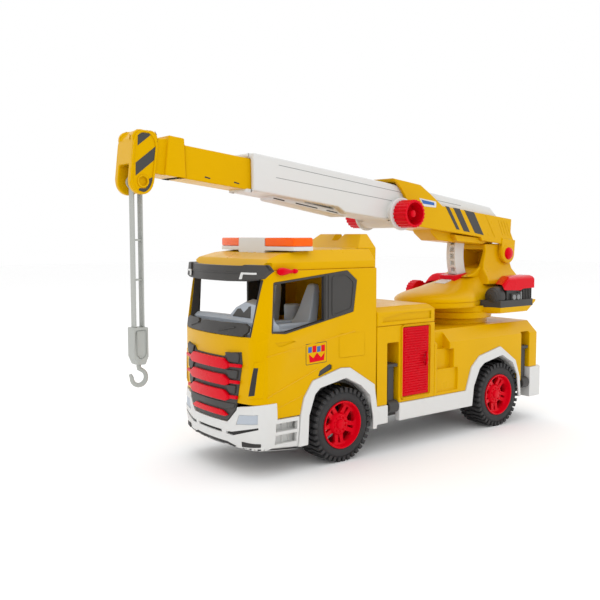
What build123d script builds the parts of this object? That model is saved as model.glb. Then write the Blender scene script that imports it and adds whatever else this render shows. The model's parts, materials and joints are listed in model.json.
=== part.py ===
from build123d import *
import math
import os

# Toy crane truck, in millimetres. X runs along the truck with the cab at -X, Z is up and z = 0 is the
# ground. Sizes are laid out from the front axle at x = 0; export() moves everything so that the origin
# lies under the middle of the whole truck.

# Driving dimensions: running gear
WHEEL_BASE = 271.5
TYRE_R = 42.0
RIM_R = 27.0
WHEEL_IN = 38.5            # inner face of a wheel, from the middle plane
WHEEL_OUT = 74.5           # outer face of a wheel
AXLE_R = 3.0
RUN_FIT = 0.05             # radial clearance of a shaft in its bore
TREAD_SIDES = 36           # flat tread blocks round a tyre
WELL_R = 45.5              # clearance round a tyre
WELL_IN = 37.5

# Driving dimensions: bodywork
SIDE = 76.0                # half width of the yellow bodywork
TRIM = 77.6                # half width over the white trim
CAB_REAR = 49.0
BOX_REAR = 145.0
BODY_REAR = 349.6
BUMPER_REAR = 362.0
BUMPER_LOW, BUMPER_TOP = 32.0, 73.0
SKIRT_Z = 56.0
SPINE_ROOM = 60.0          # top of the gap in the boxes' walls for the skirts' middle plate
DECK_Z = 135.0
LID_Z = 148.0
BOX_TOP = 170.0
ROOF_Z = 216.0             # seam between the cab's walls and its roof
HUMP_REAR = 68.0
WALL = 3.0
FLOOR_Z = 120.0            # cab floor
SILL_Z = 148.0             # foot of the windscreen
RAKE, RAKE_RISE = 8.7, 72.0     # how far the windscreen leans back over a height
LEG_SLOTS = ((66.0, 84.5, 128.0), (316.0, 333.0, 122.0))    # front, rear and top of each leg's slot
LEG_PIN = (71.5, 52.5)     # the stabiliser legs' hinges, y and z
LOCKER = (89.0, 135.0, 62.0, 145.0)                         # door opening: x, x, z, z

# Driving dimensions: crane
TURN_X = 265.0             # turning axis
RING_R = 45.0              # ring on the deck
FLANGE_R = 51.0            # turntable over it
RING_Z = 142.0
HULL_Z = 158.0
POD_X = 279.0              # front of the engine shelves
PIVOT = (342.0, 227.0)     # boom pivot, x and z
BOOM_RISE = 6.3            # degrees that the boom points up at rest
MODULE = 3.0               # lifting rack and pinion
RACK_TEETH = 56
PINION_TEETH = 9
RACK_ROOT = 81.0
COLUMN_IN, COLUMN_OUT = 67.0, 85.0
COLUMN_HALF = 7.5
LIFT_TOP, LIFT_LOW = -14.0, 63.0    # the column's ends, degrees below the pivot's level
PRESSURE = math.radians(25)
EXT_MODULE = 2.0           # extension rack and pinion
EXT_TEETH = 12
EXT_AXIS = (215.7, 28.0)   # extension knobs, along and above the boom's axis
INNER_HALF = 17.0
HEAD_PIN = (557.8, 17.5)
STRAP_HALF = 4.45          # half the distance between the hanger's two bars
BLOCK_TOP, BLOCK_LOW = 160.0, 122.0

FRONT_TIP = -224.6         # tip housing
MID_X = (FRONT_TIP + BUMPER_REAR) / 2


def box(x0, x1, y0, y1, z0, z1):
    return Part() + Solid.make_box(x1 - x0, y1 - y0, z1 - z0, Plane((x0, y0, z0)))


def wire(points, place):
    """A closed outline. (a, b) is a corner; (ma, mb, a, b) is reached on an arc through (ma, mb)."""
    edges = []
    last = points[0][-2:]
    for step in list(points[1:]) + [points[0][-2:]]:
        end = step[-2:]
        if len(step) == 4:
            edges.append(Edge.make_three_point_arc(place(*last), place(*step[:2]), place(*end)))
        elif math.dist(last, end) > 1e-6:
            edges.append(Edge.make_line(place(*last), place(*end)))
        last = end
    return Wire(edges)


def prism_x(points, x0, x1):
    face = Face(wire(points, lambda a, b: Vector(x0, a, b)))
    return Part() + Solid.extrude(face, Vector(x1 - x0, 0, 0))


def prism_y(points, y0, y1):
    face = Face(wire(points, lambda a, b: Vector(a, y0, b)))
    return Part() + Solid.extrude(face, Vector(0, y1 - y0, 0))


def prism_z(points, z0, z1):
    face = Face(wire(points, lambda a, b: Vector(a, b, z0)))
    return Part() + Solid.extrude(face, Vector(0, 0, z1 - z0))


def rod_y(x, z, r, y0, y1):
    return Part() + Solid.make_cylinder(r, y1 - y0, Plane((x, y0, z), z_dir=(0, 1, 0)))


def rod_z(x, y, r, z0, z1):
    return Part() + Solid.make_cylinder(r, z1 - z0, Plane((x, y, z0)))


def rod_x(y, z, r, x0, x1):
    return Part() + Solid.make_cylinder(r, x1 - x0, Plane((x0, y, z), z_dir=(1, 0, 0)))


def tube_y(x, z, r_out, r_in, y0, y1):
    return rod_y(x, z, r_out, y0, y1) - rod_y(x, z, r_in, y0 - 1, y1 + 1)


def mirrored(shape):
    return mirror(shape, about=Plane.XZ)


def both(shape):
    return Part() + [shape, mirrored(shape)]


def band(shape_out, shape_in, points_yz):
    """The part of a curved front between two plan outlines, cut out by an outline in Y and Z."""
    return (shape_out - shape_in) & prism_x(points_yz, -160, -60)


def export(name, shape):
    export_step(Location((-MID_X, 0, 0)) * shape, f"parts/{name}.step")


# Wheels and axles

def tyre(x):
    side = 2 * TYRE_R * math.tan(math.pi / TREAD_SIDES)
    corner = math.hypot(TYRE_R, side / 2)
    turns = [math.radians(-90 + (k + 0.5) * 360 / TREAD_SIDES) for k in range(TREAD_SIDES)]
    points = [(x + corner * math.cos(a), TYRE_R + corner * math.sin(a)) for a in turns]
    block = prism_y(points, WHEEL_IN, WHEEL_OUT)
    for y, z_dir in ((WHEEL_OUT, -1), (WHEEL_IN, 1)):
        cone = Solid.make_cone(TYRE_R - 4, TYRE_R + 46, 50, Plane((x, y, TYRE_R), z_dir=(0, z_dir, 0)))
        block = block & (Part() + cone)
    return block - rod_y(x, TYRE_R, RIM_R, 0, 100)


def rim(x):
    shell = tube_y(x, TYRE_R, RIM_R, RIM_R - 2.5, WHEEL_IN + 2, WHEEL_OUT - 1)
    disc = rod_y(x, TYRE_R, RIM_R - 2.5, 60, 66)
    for k in range(6):
        a = math.radians(30 + 60 * k)
        disc -= rod_y(x + 16.5 * math.cos(a), TYRE_R + 16.5 * math.sin(a), 4.8, 50, 80)
    hub = rod_y(x, TYRE_R, 8, 44, 70)
    return shell + disc + hub - rod_y(x, TYRE_R, AXLE_R, 30, 71)


def running_gear():
    for name, x in (("front", 0.0), ("rear", WHEEL_BASE)):
        export(f"{name}_axle", rod_y(x, TYRE_R, AXLE_R, -71, 71))
        for side, place in (("left", mirrored), ("right", lambda s: s)):
            export(f"{name}_tyre_{side}", place(tyre(x)))
            export(f"{name}_rim_{side}", place(rim(x)))


# Outlines of the wheel arches in the side view, front and rear

ARCH_OUT = {
    "front": [(-64, 28), (-62, 60), (-57, 80), (-45, 97), (-5, 107), (8, 106), (45, 83), (49, 56), (49, 31)],
    "rear": [(203, 35), (203, 57), (213, 85), (228, 98), (270, 107), (302, 86), (312, 62), (315, 35)],
}
ARCH_IN = {
    "front": [(-52, 20), (-50, 60), (-42, 82), (-35, 88), (2, 95), (24, 84), (38, 71), (43, 45), (43, 20)],
    "rear": [(213, 20), (218, 60), (229, 82), (238, 88), (274, 95), (296, 83), (306, 66), (310, 40),
             (310, 20)],
}
AXLE_X = {"front": 0.0, "rear": WHEEL_BASE}


def arch_space(name):
    first, last = ARCH_OUT[name][0], ARCH_OUT[name][-1]
    below = box(first[0], last[0], WELL_IN, 90, 20, max(first[1], last[1]))
    return prism_y(ARCH_OUT[name], WELL_IN, 90) + below


def cut_arches(shape, *names):
    for name in names:
        shape = shape - arch_space(name) - mirrored(arch_space(name))
    return shape


def arch_strip(name):
    strip = prism_y(ARCH_OUT[name], 62, TRIM) - prism_y(ARCH_IN[name], 50, 90)
    return strip - rod_y(AXLE_X[name], TYRE_R, WELL_R, 50, WHEEL_OUT + 0.7)


def liner(name):
    low = [(x, max(z, 50)) for x, z in ARCH_OUT[name]]
    return prism_y(low, WELL_IN, 62) - rod_y(AXLE_X[name], TYRE_R, WELL_R, 30, 70)


def leg_slot(x0, x1, top, low=20):
    return box(x0, x1, 48, 90, low, top)


def lower_body():
    """White skirts, arches and rear corners, moulded in one with the floor that joins them."""
    middle = box(49, 203, 70, TRIM, 35, SKIRT_Z)
    corner = [(333, 60), (BUMPER_REAR, 60), (BUMPER_REAR, 71), (BUMPER_REAR - 6, TRIM), (333, TRIM)]
    rear = prism_z(corner, BUMPER_LOW, BUMPER_TOP)
    side = middle + rear + arch_strip("front") + arch_strip("rear")
    side += box(50, 203, 36, 70, 52, SKIRT_Z)
    for x0, x1, top in LEG_SLOTS:
        side -= leg_slot(x0, x1, top) + rod_x(*LEG_PIN, 2 + RUN_FIT, x0 - 3, x1 + 3)
    spine = box(60, BUMPER_REAR - 3, -37.4, 37.4, SKIRT_Z, SKIRT_Z + 2)
    across = box(333, BUMPER_REAR, -60, 60, BUMPER_LOW, BUMPER_TOP)
    across -= box(330, BUMPER_REAR - WALL, -57, 57, 30, BUMPER_TOP - WALL)
    lamps = box(BUMPER_REAR - 1, BUMPER_REAR + 1, 40, 58, 48, 62)
    return side + mirrored(side) + spine + across - lamps - mirrored(lamps)


def chassis():
    frame = box(-100, 345, -36, 36, 30, 56) - box(-96, 341, -32, 32, 34, 60)
    for x in AXLE_X.values():
        frame += box(x - 8, x + 8, -36, 36, 34, 50)
        frame -= rod_y(x, TYRE_R, AXLE_R + RUN_FIT, -40, 40)
    cross = box(-100, 345, -5, 5, 34, 38)
    return frame + cross


# Cab

def cab_plan(grow, z0, z1, rear=CAB_REAR):
    """The cab's plan: straight sides, turned corners and a bowed front, grown all round."""
    s = SIDE + grow
    front = -127 - grow
    points = [(rear, -s), (-98, -s), (-112 - 0.7 * grow, -72 - 0.7 * grow, -119 - grow, -60),
              (front, 0, -119 - grow, 60), (-112 - 0.7 * grow, 72 + 0.7 * grow, -98, s), (rear, s)]
    return prism_z(points, z0, z1)


def cab_outer(grow=0.0):
    """The cab's outer form; the windscreen's rake is a shear of the bowed plan."""
    raked = loft([
        cab_plan(grow, SILL_Z, 149).faces().sort_by(Axis.Z)[0],
        (Location((RAKE, 0, RAKE_RISE)) * cab_plan(grow - 1.1, SILL_Z, 149)).faces().sort_by(Axis.Z)[0],
    ])
    return cab_plan(grow, 62, SILL_Z) + (Part() + raked)


WINDOW = [(-98, 152), (-95, 204), (5, 214), (19, 203), (14, 168), (-80, 150)]
WINDOW_OPEN = [(-96, 153.5), (-93.3, 202), (-28, 208.6), (-28, 161.5), (-80, 151.8)]
SCREEN = [(-65, 148), (-70.5, 207), (70.5, 207), (65, 148)]


def cab_shell():
    """The cab's yellow walls, open below, with real window openings."""
    outer = cab_outer() & box(-140, CAB_REAR, -SIDE, SIDE, 62, ROOF_Z)
    inner = cab_outer(-WALL) & box(-140, CAB_REAR - WALL, -SIDE + WALL, SIDE - WALL, FLOOR_Z, ROOF_Z + 1)
    low = box(-108, -66, -66, 66, 60, FLOOR_Z - WALL) + box(-66, CAB_REAR - WALL, -35, 35, 60, FLOOR_Z - WALL)
    shell = outer - inner - low
    shell -= prism_y(WINDOW, -90, 90)
    shell -= prism_x(SCREEN, -150, -90)
    edge = prism_y([(-130, 60), (-130, 78), (-99, 78), (-95, 62), (-60, 62), (-60, 50)], -90, 90)
    return cut_arches(shell - edge, "front")


def cab_roof():
    """Hollow roof with chamfered sides, and the two humps that stand up behind it on the locker box."""
    slope = [(CAB_REAR, ROOF_Z), (CAB_REAR, 238), (-30, 238), (-80, 233), (-98, 228), (-108, ROOF_Z)]
    crown = cab_plan(-3.0, ROOF_Z, 240) & prism_y(slope, -90, 90)
    sides = prism_x([(-76, ROOF_Z), (-73, 224), (-62, 237), (-54, 236), (-40, 240), (40, 240), (54, 236),
                     (62, 237), (73, 224), (76, ROOF_Z)], -140, 60)
    room = prism_y([(-92, ROOF_Z - 1), (-78, 226), (-30, 234), (40, 234), (40, ROOF_Z - 1)], -60, 60)
    humps = prism_x([(-52, BOX_TOP), (-53, 238), (-38, 254), (-8, 254), (-5, 246), (5, 246), (8, 254),
                     (38, 254), (53, 238), (52, BOX_TOP)], 40, HUMP_REAR)
    humps &= prism_y([(40, ROOF_Z), (CAB_REAR, ROOF_Z), (CAB_REAR, BOX_TOP), (HUMP_REAR, BOX_TOP),
                      (HUMP_REAR, 254), (HUMP_REAR - 10, 254), (40, 238)], -90, 90)
    hollow = box(CAB_REAR + WALL, HUMP_REAR - WALL, -49, 49, BOX_TOP - 1, 236)
    return (crown & sides) - room + humps - hollow


def front_bumper():
    """White bumper, hollow behind, with the cab steps at its rear ends."""
    grown = cab_plan(TRIM - SIDE, 30, 78)
    chin = prism_y([(-140, 57), (-132, 42), (-127, 30), (-64, 28), (-64, 62), (-95, 62), (-99, 78),
                    (-140, 78)], -90, 90)
    shell = grown & chin & box(-140, -64, -90, 90, 20, 90)
    shell -= cab_plan(-3.2, 20, 75) & box(-140, -60, -90, 90, 20, 75)
    shell -= prism_x([(-47, 90), (-45, 70), (-35, 57), (35, 57), (45, 70), (47, 90)], -140, -90)
    for z0, z1 in ((33, 44), (47, 58)):
        step = box(-94, -70, 68, 90, z0, z1)
        shell = shell - both(step) + both(box(-97, -67, 64, 74, z0 - 3, z1 + 2.9) - step)
    slots = prism_x([(-12, 41), (-12, 45), (34, 45), (34, 41)], -140, -100)
    slots += both(prism_x([(40, 41), (40, 44.5), (48, 45), (70, 57), (70, 53), (50, 41)], -140, -90))
    return shell - slots


def grille():
    grown = [cab_plan(g, 50, 140) for g in (0.0, 2.5, 5.5)]
    outline = [(-55, 134), (-45, 68), (-34, 57.6), (34, 57.6), (45, 68), (55, 134), (45, 134), (36, 127),
               (-36, 127), (-45, 134)]
    frame = band(grown[1], grown[0], outline)
    slats = Part()
    for z in (117.5, 101.0, 84.5):
        half = 57 - (118 - z) * 0.12
        points = [(-half, z), (-half + 5, z - 5.5), (half - 5, z - 5.5), (half, z), (half - 5, z + 5.5),
                  (-half + 5, z + 5.5)]
        slats += band(grown[2], grown[1], points)
    slats += band(grown[2], grown[1], [(-40, 64), (-34, 60), (34, 60), (40, 64), (36, 68), (-36, 68)])
    return frame, slats


def headlamps():
    outer, inner = cab_plan(3.0, 50, 80), cab_plan(TRIM - SIDE, 50, 80)
    return both(band(outer, inner, [(47, 58), (49, 68), (72, 69), (72, 56)]))


def sun_visor():
    body = cab_plan(3.5, 209, 224) - cab_plan(-3.5, 200, 230)
    peak = cab_plan(5.0, 209, 224) & box(-160, -112, -90, 90, 200, 230)
    visor = (body & box(-160, -104, -90, 90, 200, 230)) + (peak - cab_plan(-3.5, 200, 230))
    return Location((8, 0, 0)) * visor


def visor_lamps():
    outer = Location((8, 0, 0)) * cab_plan(6.2, 212, 219)
    inner = Location((8, 0, 0)) * cab_plan(5.0, 210, 222)
    return both(band(outer, inner, [(50, 212), (50, 219), (70, 219), (70, 216.5), (54, 216.5), (54, 212)]))


def window_trims():
    plate = prism_y(WINDOW, SIDE - 3.4, SIDE - 0.8) - prism_y(WINDOW_OPEN, 60, 90)
    return both(plate)


def windscreen_trim():
    """Dark frame in the windscreen, with the wiper tray along its foot."""
    outer = cab_outer(-0.8) - cab_outer(-3.2)
    ring = prism_x(SCREEN, -150, -90) - prism_x([(-62, 160), (-67.5, 205), (67.5, 205), (62, 160)], -160, -80)
    return outer & ring & box(-140, -95, -71, 71, 148, 206.9)


def cab_interior():
    """Light grey tub: floor, dashboard and centre console."""
    floor = box(-100, 42, -68, 68, FLOOR_Z, FLOOR_Z + 4)
    dash = prism_y([(-100, 124), (-84, 124), (-84, 146), (-92, 158), (-106, 160), (-112, 150),
                    (-110, 124)], -60, 60)
    column = prism_y([(-92, 124), (-82, 124), (-82, 150), (-92, 150)], -44, -28)
    console = box(-84, -40, -8, 8, 124, 136)
    return floor + dash + column + console


def seat(y):
    cushion = box(-66, -22, y - 21, y + 21, 132, 144)
    plinth = box(-60, -24, y - 17, y + 17, 124, 132)
    back = prism_y([(-36, 144), (-22, 144), (-10, 196), (-18, 200), (-26, 196)], y - 19, y + 19)
    return cushion + plinth + back


STEER_PLACE = Location((-78, -36, 158), (0, 35, 0))


def steering_wheel():
    """A three-spoked wheel on its own stub, tilted back."""
    wheel = Part() + Solid.make_torus(13, 1.8)
    wheel += rod_z(0, 0, 4, -1.5, 1.5) + rod_z(0, 0, 1.8, -10, -1)
    for k in range(3):
        wheel += Rotation(0, 0, 90 + 120 * k) * box(0, 13, -1.5, 1.5, -1, 1)
    return STEER_PLACE * wheel


def light_bar():
    bow = prism_z([(-66, -71), (-72.5, 0, -66, 71), (-40, 71), (-40, -71)], 233, 250)
    middle = bow & box(-80, -40, -25.5, 25.5, 233, 250)
    lens = bow & box(-80, -40, 25.5, 71, 240.5, 250)
    return (bow & box(-80, -40, -71, 71, 236, 240.5)) + middle, both(lens)


def roof_horns():
    cone = Solid.make_cone(3.6, 1.6, 26, Plane((-92, SIDE + 2.2, 218), z_dir=(1, 0, 0)))
    foot = box(-88, -72, SIDE - 3, SIDE + 2, 216, 220)
    return both(Part() + cone + foot)


def cab():
    shell = cab_shell()
    interior = cab_interior()
    frame, slats = grille()
    base, lenses = light_bar()
    stub_hole = STEER_PLACE * rod_z(0, 0, 1.85, -40, -1.2)
    visor = sun_visor() - cab_outer()
    roof = cab_roof() - visor
    export("cab_shell", shell)
    export("cab_roof", roof - base)
    export("cab_interior", (interior & cab_outer(-WALL)) - stub_hole)
    export("seats", Part() + [seat(-36), seat(36)])
    export("steering_wheel", steering_wheel())
    export("front_bumper", front_bumper() - frame)
    export("grille_frame", frame)
    export("grille_slats", slats)
    export("headlamps", headlamps())
    export("sun_visor", visor)
    export("visor_lamps", visor_lamps())
    export("side_window_trims", window_trims())
    export("windscreen_trim", windscreen_trim())
    export("light_bar_base", base)
    export("beacon_lenses", lenses)
    export("roof_horns", roof_horns() - shell - roof)


# Superstructure behind the cab

def locker_box():
    """Yellow box behind the cab, with a room for tools and a leg's slot on each side."""
    x0, x1, z0, z1 = LOCKER
    block = box(CAB_REAR + 0.5, BOX_REAR, -SIDE, SIDE, SKIRT_Z, LID_Z)
    block -= box(CAB_REAR + 4, BOX_REAR - 4, -38, 38, 40, LID_Z - 4)
    block -= box(CAB_REAR + 4, BOX_REAR + 1, -38, 38, 40, SPINE_ROOM)
    door = box(x0, x1, SIDE - 1.9, 90, z0, z1)
    room = box(x0 + 3, x1 - 3, 42, 90, z0 + 3, z1 - 3)
    for z in (z0 - 3, z1 - 4):
        door += rod_z(x0 + 1.6, SIDE - 0.2, 1.25, z, z + 7)
    return cut_arches(block - both(door + room + leg_slot(*LEG_SLOTS[0])), "front")


def upper_body():
    """Yellow body: side steps, sloping shoulders, deck and the ring that the crane turns on."""
    section = [(-SIDE, SKIRT_Z), (-SIDE, 120), (-60, DECK_Z), (60, DECK_Z), (SIDE, 120), (SIDE, SKIRT_Z)]
    body = prism_x(section, BOX_REAR, BODY_REAR)
    body -= box(333, BODY_REAR + 1, -90, 90, 40, BUMPER_TOP)
    body -= box(BOX_REAR + 3, BODY_REAR - 3, -38, 38, 40, DECK_Z - 4)
    body -= box(BOX_REAR - 1, BOX_REAR + 4, -38, 38, 40, SPINE_ROOM)
    body -= box(BOX_REAR + 3, 200, -58, 58, 40, 116)
    body += rod_z(TURN_X, 0, RING_R, DECK_Z, RING_Z) - rod_z(TURN_X, 0, RING_R - 6, DECK_Z, 160)
    body -= rod_z(TURN_X, 0, 20 + RUN_FIT, 100, 160)
    for low, high, depth in ((60, 88, 3), (88, 112, 8), (112, 140, 13)):
        body -= both(box(150, 192 - 1.5 * depth, SIDE - depth, 90, low, high))
    return cut_arches(body - both(leg_slot(*LEG_SLOTS[1])), "rear")


def locker_lid():
    """Hollow raised top of the locker box."""
    across = [(-SIDE, LID_Z), (-SIDE, 164), (-68, BOX_TOP), (68, BOX_TOP), (SIDE, 164), (SIDE, LID_Z)]
    along = [(CAB_REAR + 0.5, LID_Z), (CAB_REAR + 0.5, BOX_TOP), (BOX_REAR - 5, BOX_TOP), (BOX_REAR, 165),
             (BOX_REAR, LID_Z)]
    lid = prism_x(across, CAB_REAR + 0.5, BOX_REAR) & prism_y(along, -90, 90)
    return lid - box(CAB_REAR + 4, BOX_REAR - 4, -68, 68, LID_Z - 1, BOX_TOP - 6)


def locker_door():
    """Ribbed door on the +Y side, with hinge pins at its front edge and a grip at its rear edge."""
    x0, x1, z0, z1 = LOCKER
    hinge_x, hinge_y = x0 + 1.6, SIDE - 0.2
    panel = box(hinge_x, x1 - 0.4, hinge_y - 1.2, hinge_y + 1.2, z0 + 0.5, z1 - 0.5)
    panel += rod_z(hinge_x, hinge_y, 1.2, z0 - 2.5, z1 + 2.5)
    for k in range(24):
        z = z0 + 3 + k * 3.35
        panel += box(x0 + 4, x1 - 3, hinge_y + 1.2, hinge_y + 2.0, z, z + 1.6)
    grip = box(x1 - 10, x1, hinge_y + 1.2, hinge_y + 5.2, 98, 111)
    return panel + grip


def leg(x0, x1):
    """Stabiliser leg on the +Y side, folded up in its slot."""
    mid = (x0 + x1) / 2
    knuckle = rod_x(*LEG_PIN, 7.5, x0 + 1.5, x1 - 1.5) + rod_x(*LEG_PIN, 2, x0 - 2.5, x1 + 2.5)
    arm = box(mid - 5, mid + 5, 62, 72, LEG_PIN[1], 99)
    foot = box(x0 + 1, x1 - 1, 57, 75, 99, 103)
    return knuckle + arm + foot


def body():
    export("chassis", chassis())
    export("lower_body", lower_body())
    export("wheel_liners", both(liner("front") + liner("rear")))
    export("locker_box", locker_box())
    export("upper_body", upper_body())
    export("locker_lid", locker_lid())
    for side, place in (("left", mirrored), ("right", lambda s: s)):
        export(f"locker_door_{side}", place(locker_door()))
        for name, (x0, x1, _) in zip(("front", "rear"), LEG_SLOTS):
            export(f"{name}_leg_{side}", place(leg(x0, x1)))


# Lifting gear: the column is a toothed arc about the boom's pivot

def involute(angle):
    return math.tan(angle) - angle


def gear(centre, teeth, phase, module, tip, root, backlash):
    """Outline of a spur gear in the XZ plane, with one tooth centred on the phase angle."""
    pitch_r = module * teeth / 2
    base_r = pitch_r * math.cos(PRESSURE)
    half = (math.pi / 2 - backlash / module) / teeth
    radii = [pitch_r - root, max(base_r, pitch_r - root) + 0.05, pitch_r, pitch_r + tip]
    offsets = []
    for r in radii:
        roll = involute(math.acos(min(1.0, base_r / r))) if r > base_r else 0.0
        offsets.append(half + involute(PRESSURE) - roll)
    points = []
    for k in range(teeth):
        a = phase + 2 * math.pi * k / teeth
        flank = [(r, a - w) for r, w in zip(radii, offsets)]
        flank += [(r, a + w) for r, w in reversed(list(zip(radii, offsets)))]
        points += [(centre[0] + r * math.cos(b), centre[1] + r * math.sin(b)) for r, b in flank]
    return points


LIFT_ANGLE = math.atan2(172.5 - PIVOT[1], 262 - PIVOT[0])
LIFT_CENTRES = MODULE * (RACK_TEETH + PINION_TEETH) / 2
KNOB_AT = (PIVOT[0] + LIFT_CENTRES * math.cos(LIFT_ANGLE), PIVOT[1] + LIFT_CENTRES * math.sin(LIFT_ANGLE))


def sector(r_in, r_out, top, low, y0, y1):
    """A stretch of ring about the boom's pivot, on its cab side, from top to low degrees below level."""
    ring = tube_y(*PIVOT, r_out, r_in, y0, y1)
    reach = 3 * r_out
    spread = [(PIVOT[0], PIVOT[1])]
    for k in range(5):
        a = math.radians(180 + top + (low - top) * k / 4)
        spread.append((PIVOT[0] + reach * math.cos(a), PIVOT[1] + reach * math.sin(a)))
    return ring & prism_y(spread, y0 - 1, y1 + 1)


def lift_column():
    web = sector(COLUMN_IN, RACK_ROOT, LIFT_TOP, LIFT_LOW, -COLUMN_HALF, COLUMN_HALF)
    near = sector(RACK_ROOT - 1, COLUMN_OUT, LIFT_TOP, LIFT_LOW, -COLUMN_HALF, -5.5)
    far = sector(RACK_ROOT - 1, COLUMN_OUT, LIFT_TOP, LIFT_LOW, 1.5, COLUMN_HALF)
    phase = LIFT_ANGLE + math.pi / RACK_TEETH
    depth = MODULE * RACK_TEETH / 2 - RACK_ROOT
    teeth = prism_y(gear(PIVOT, RACK_TEETH, phase, MODULE, 2.1, depth, 0.8), -6, 2)
    teeth = teeth & sector(RACK_ROOT - 1, 90, LIFT_TOP + 3, LIFT_LOW - 1, -6, 2)
    return web + near + far + teeth


def lift_pinion():
    outline = gear(KNOB_AT, PINION_TEETH, LIFT_ANGLE + math.pi, MODULE, 2.1, 2.7, 0.8)
    return prism_y(outline, -5, 1) + rod_y(*KNOB_AT, AXLE_R, -14, 74)


def knob(x, z, r, y0, y1):
    """A cup-shaped knurled knob, open away from its shaft."""
    body = rod_y(x, z, r, y0, y1)
    for k in range(24):
        a = math.radians(15 * k)
        body -= rod_y(x + (r + 0.4) * math.cos(a), z + (r + 0.4) * math.sin(a), 1.1, y0 + 1, y1 + 1)
    return body - rod_y(x, z, r - 3.5, y0 + 5, y1 + 1)


# Turning superstructure

def nose(grow, z0, z1):
    """Plan of the superstructure: a long rounded nose over the deck and straight sides behind it."""
    front, side = -97 - grow, 58.5 + grow
    points = [(TURN_X + 76, -46), (TURN_X + 20, -side), (TURN_X - 20, -side),
              (TURN_X + 0.72 * front, -0.72 * side, TURN_X + front, 0),
              (TURN_X + 0.72 * front, 0.72 * side, TURN_X - 20, side), (TURN_X + 20, side), (TURN_X + 76, 46)]
    return prism_z(points, z0, z1)


def superstructure():
    flange = rod_z(TURN_X, 0, FLANGE_R, RING_Z, HULL_Z)
    spigot = rod_z(TURN_X, 0, 20, DECK_Z - 9, RING_Z) - rod_z(TURN_X, 0, 16, 100, RING_Z - 3)
    base = nose(0, HULL_Z, 170)
    crown = Part() + loft([nose(0, 170, 171).faces().sort_by(Axis.Z)[0],
                           nose(-16, 184, 185).faces().sort_by(Axis.Z)[0]])
    ridge = prism_y([(182, 168), (182, 170), (196, 182), (252, 195), (300, 202), (352, 208), (354, 168)],
                    -40, 40)
    ridge = ridge & prism_x([(-44, 160), (-40, 184), (-26, 215), (26, 215), (40, 184), (44, 160)], 100, 400)
    tower = prism_y([(262, 196), (286, 204, 304, 222), (303, 230, 300, 236), (330, 238), (333, 238),
                     (342, 239.5, 351, 235.5), (354, 227), (354, 190), (262, 190)], -23.5, 23.5)
    pods = both(prism_z([(POD_X, 30), (POD_X, 72), (345, 72), (349, 66), (349, 30)], 152, 160))
    hull = base + crown + (ridge & box(180, 354, -50, 50, 160, 215)) + tower + flange + spigot
    hull += pods
    trays = box(POD_X, 351, 44, 90, 160, 240)
    hull = hull - trays - mirrored(trays)
    slot = sector(COLUMN_IN - 1.2, COLUMN_OUT + 1.6, -30, 80, -COLUMN_HALF - 0.8, COLUMN_HALF + 0.8)
    cavity = rod_y(*KNOB_AT, 16.6, -COLUMN_HALF - 0.8, COLUMN_HALF + 0.8)
    shaft = rod_y(*KNOB_AT, AXLE_R + RUN_FIT, -14.5, 90)
    pin = rod_y(*PIVOT, 5 + RUN_FIT, -40, 40)
    boom_room = prism_y([(330, 241), (330, 260), (200, 260), (200, 243.4), (250, 238)], -60, 60)
    return hull - slot - cavity - shaft - pin - boom_room


def engine_side():
    """Dark tray with a ribbed fan cowl, grey engine and red hood, on the +Y side."""
    tray = box(POD_X, 349, 44, 72, 160, 168) - box(POD_X + 3, 345, 48, 69, 163, 170)
    cowl = rod_x(57.5, 168, 13, 281.5, 291) & box(270, 300, 44, 72, 168, 190)
    grill = Part()
    for k in range(5):
        grill += box(279.5, 281.5, 48 + 4 * k, 50 + 4 * k, 168, 179 - abs(2 - k) * 2)
    engine = box(294, 343, 49, 67, 163, 182)
    hood = prism_y([(292, 182), (288, 186), (302, 197), (347, 197), (347, 182)], 44, 71)
    return tray, cowl + grill, engine, hood


def turntable():
    hull = superstructure()
    tray, cowl, engine, hood = engine_side()
    collar = box(249, 282, -13, 13, 190, 201) - sector(COLUMN_IN - 1.2, COLUMN_OUT + 1.6, -30, 80, -8.3, 8.3)
    knob_body = knob(*KNOB_AT, 16, 61, 74) - rod_y(*KNOB_AT, AXLE_R, 0, 90)
    export("superstructure", hull)
    export("turning_clip", rod_z(TURN_X, 0, 24, 126, DECK_Z - 4.3) - rod_z(TURN_X, 0, 20, 120, 140))
    export("engine_trays", both(tray))
    export("fan_cowls", both(cowl))
    export("engine_blocks", both(engine))
    export("engine_hoods", both(hood))
    export("column_collar", collar - hull)
    export("lift_pinion", lift_pinion())
    export("lift_knob", knob_body)


# Boom: drawn level with its pivot at (0, 0), forward along -X, then set at its rest angle

def boom_place(shape):
    return Location((PIVOT[0], 0, PIVOT[1])) * Location((0, 0, 0), (0, BOOM_RISE, 0)) * shape


def profile(points, y0, y1):
    """Side-view outline given as distance along the boom and height above its axis."""
    flipped = [tuple(v if i % 2 else -v for i, v in enumerate(p)) for p in points]
    return prism_y(flipped, y0, y1)


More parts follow.
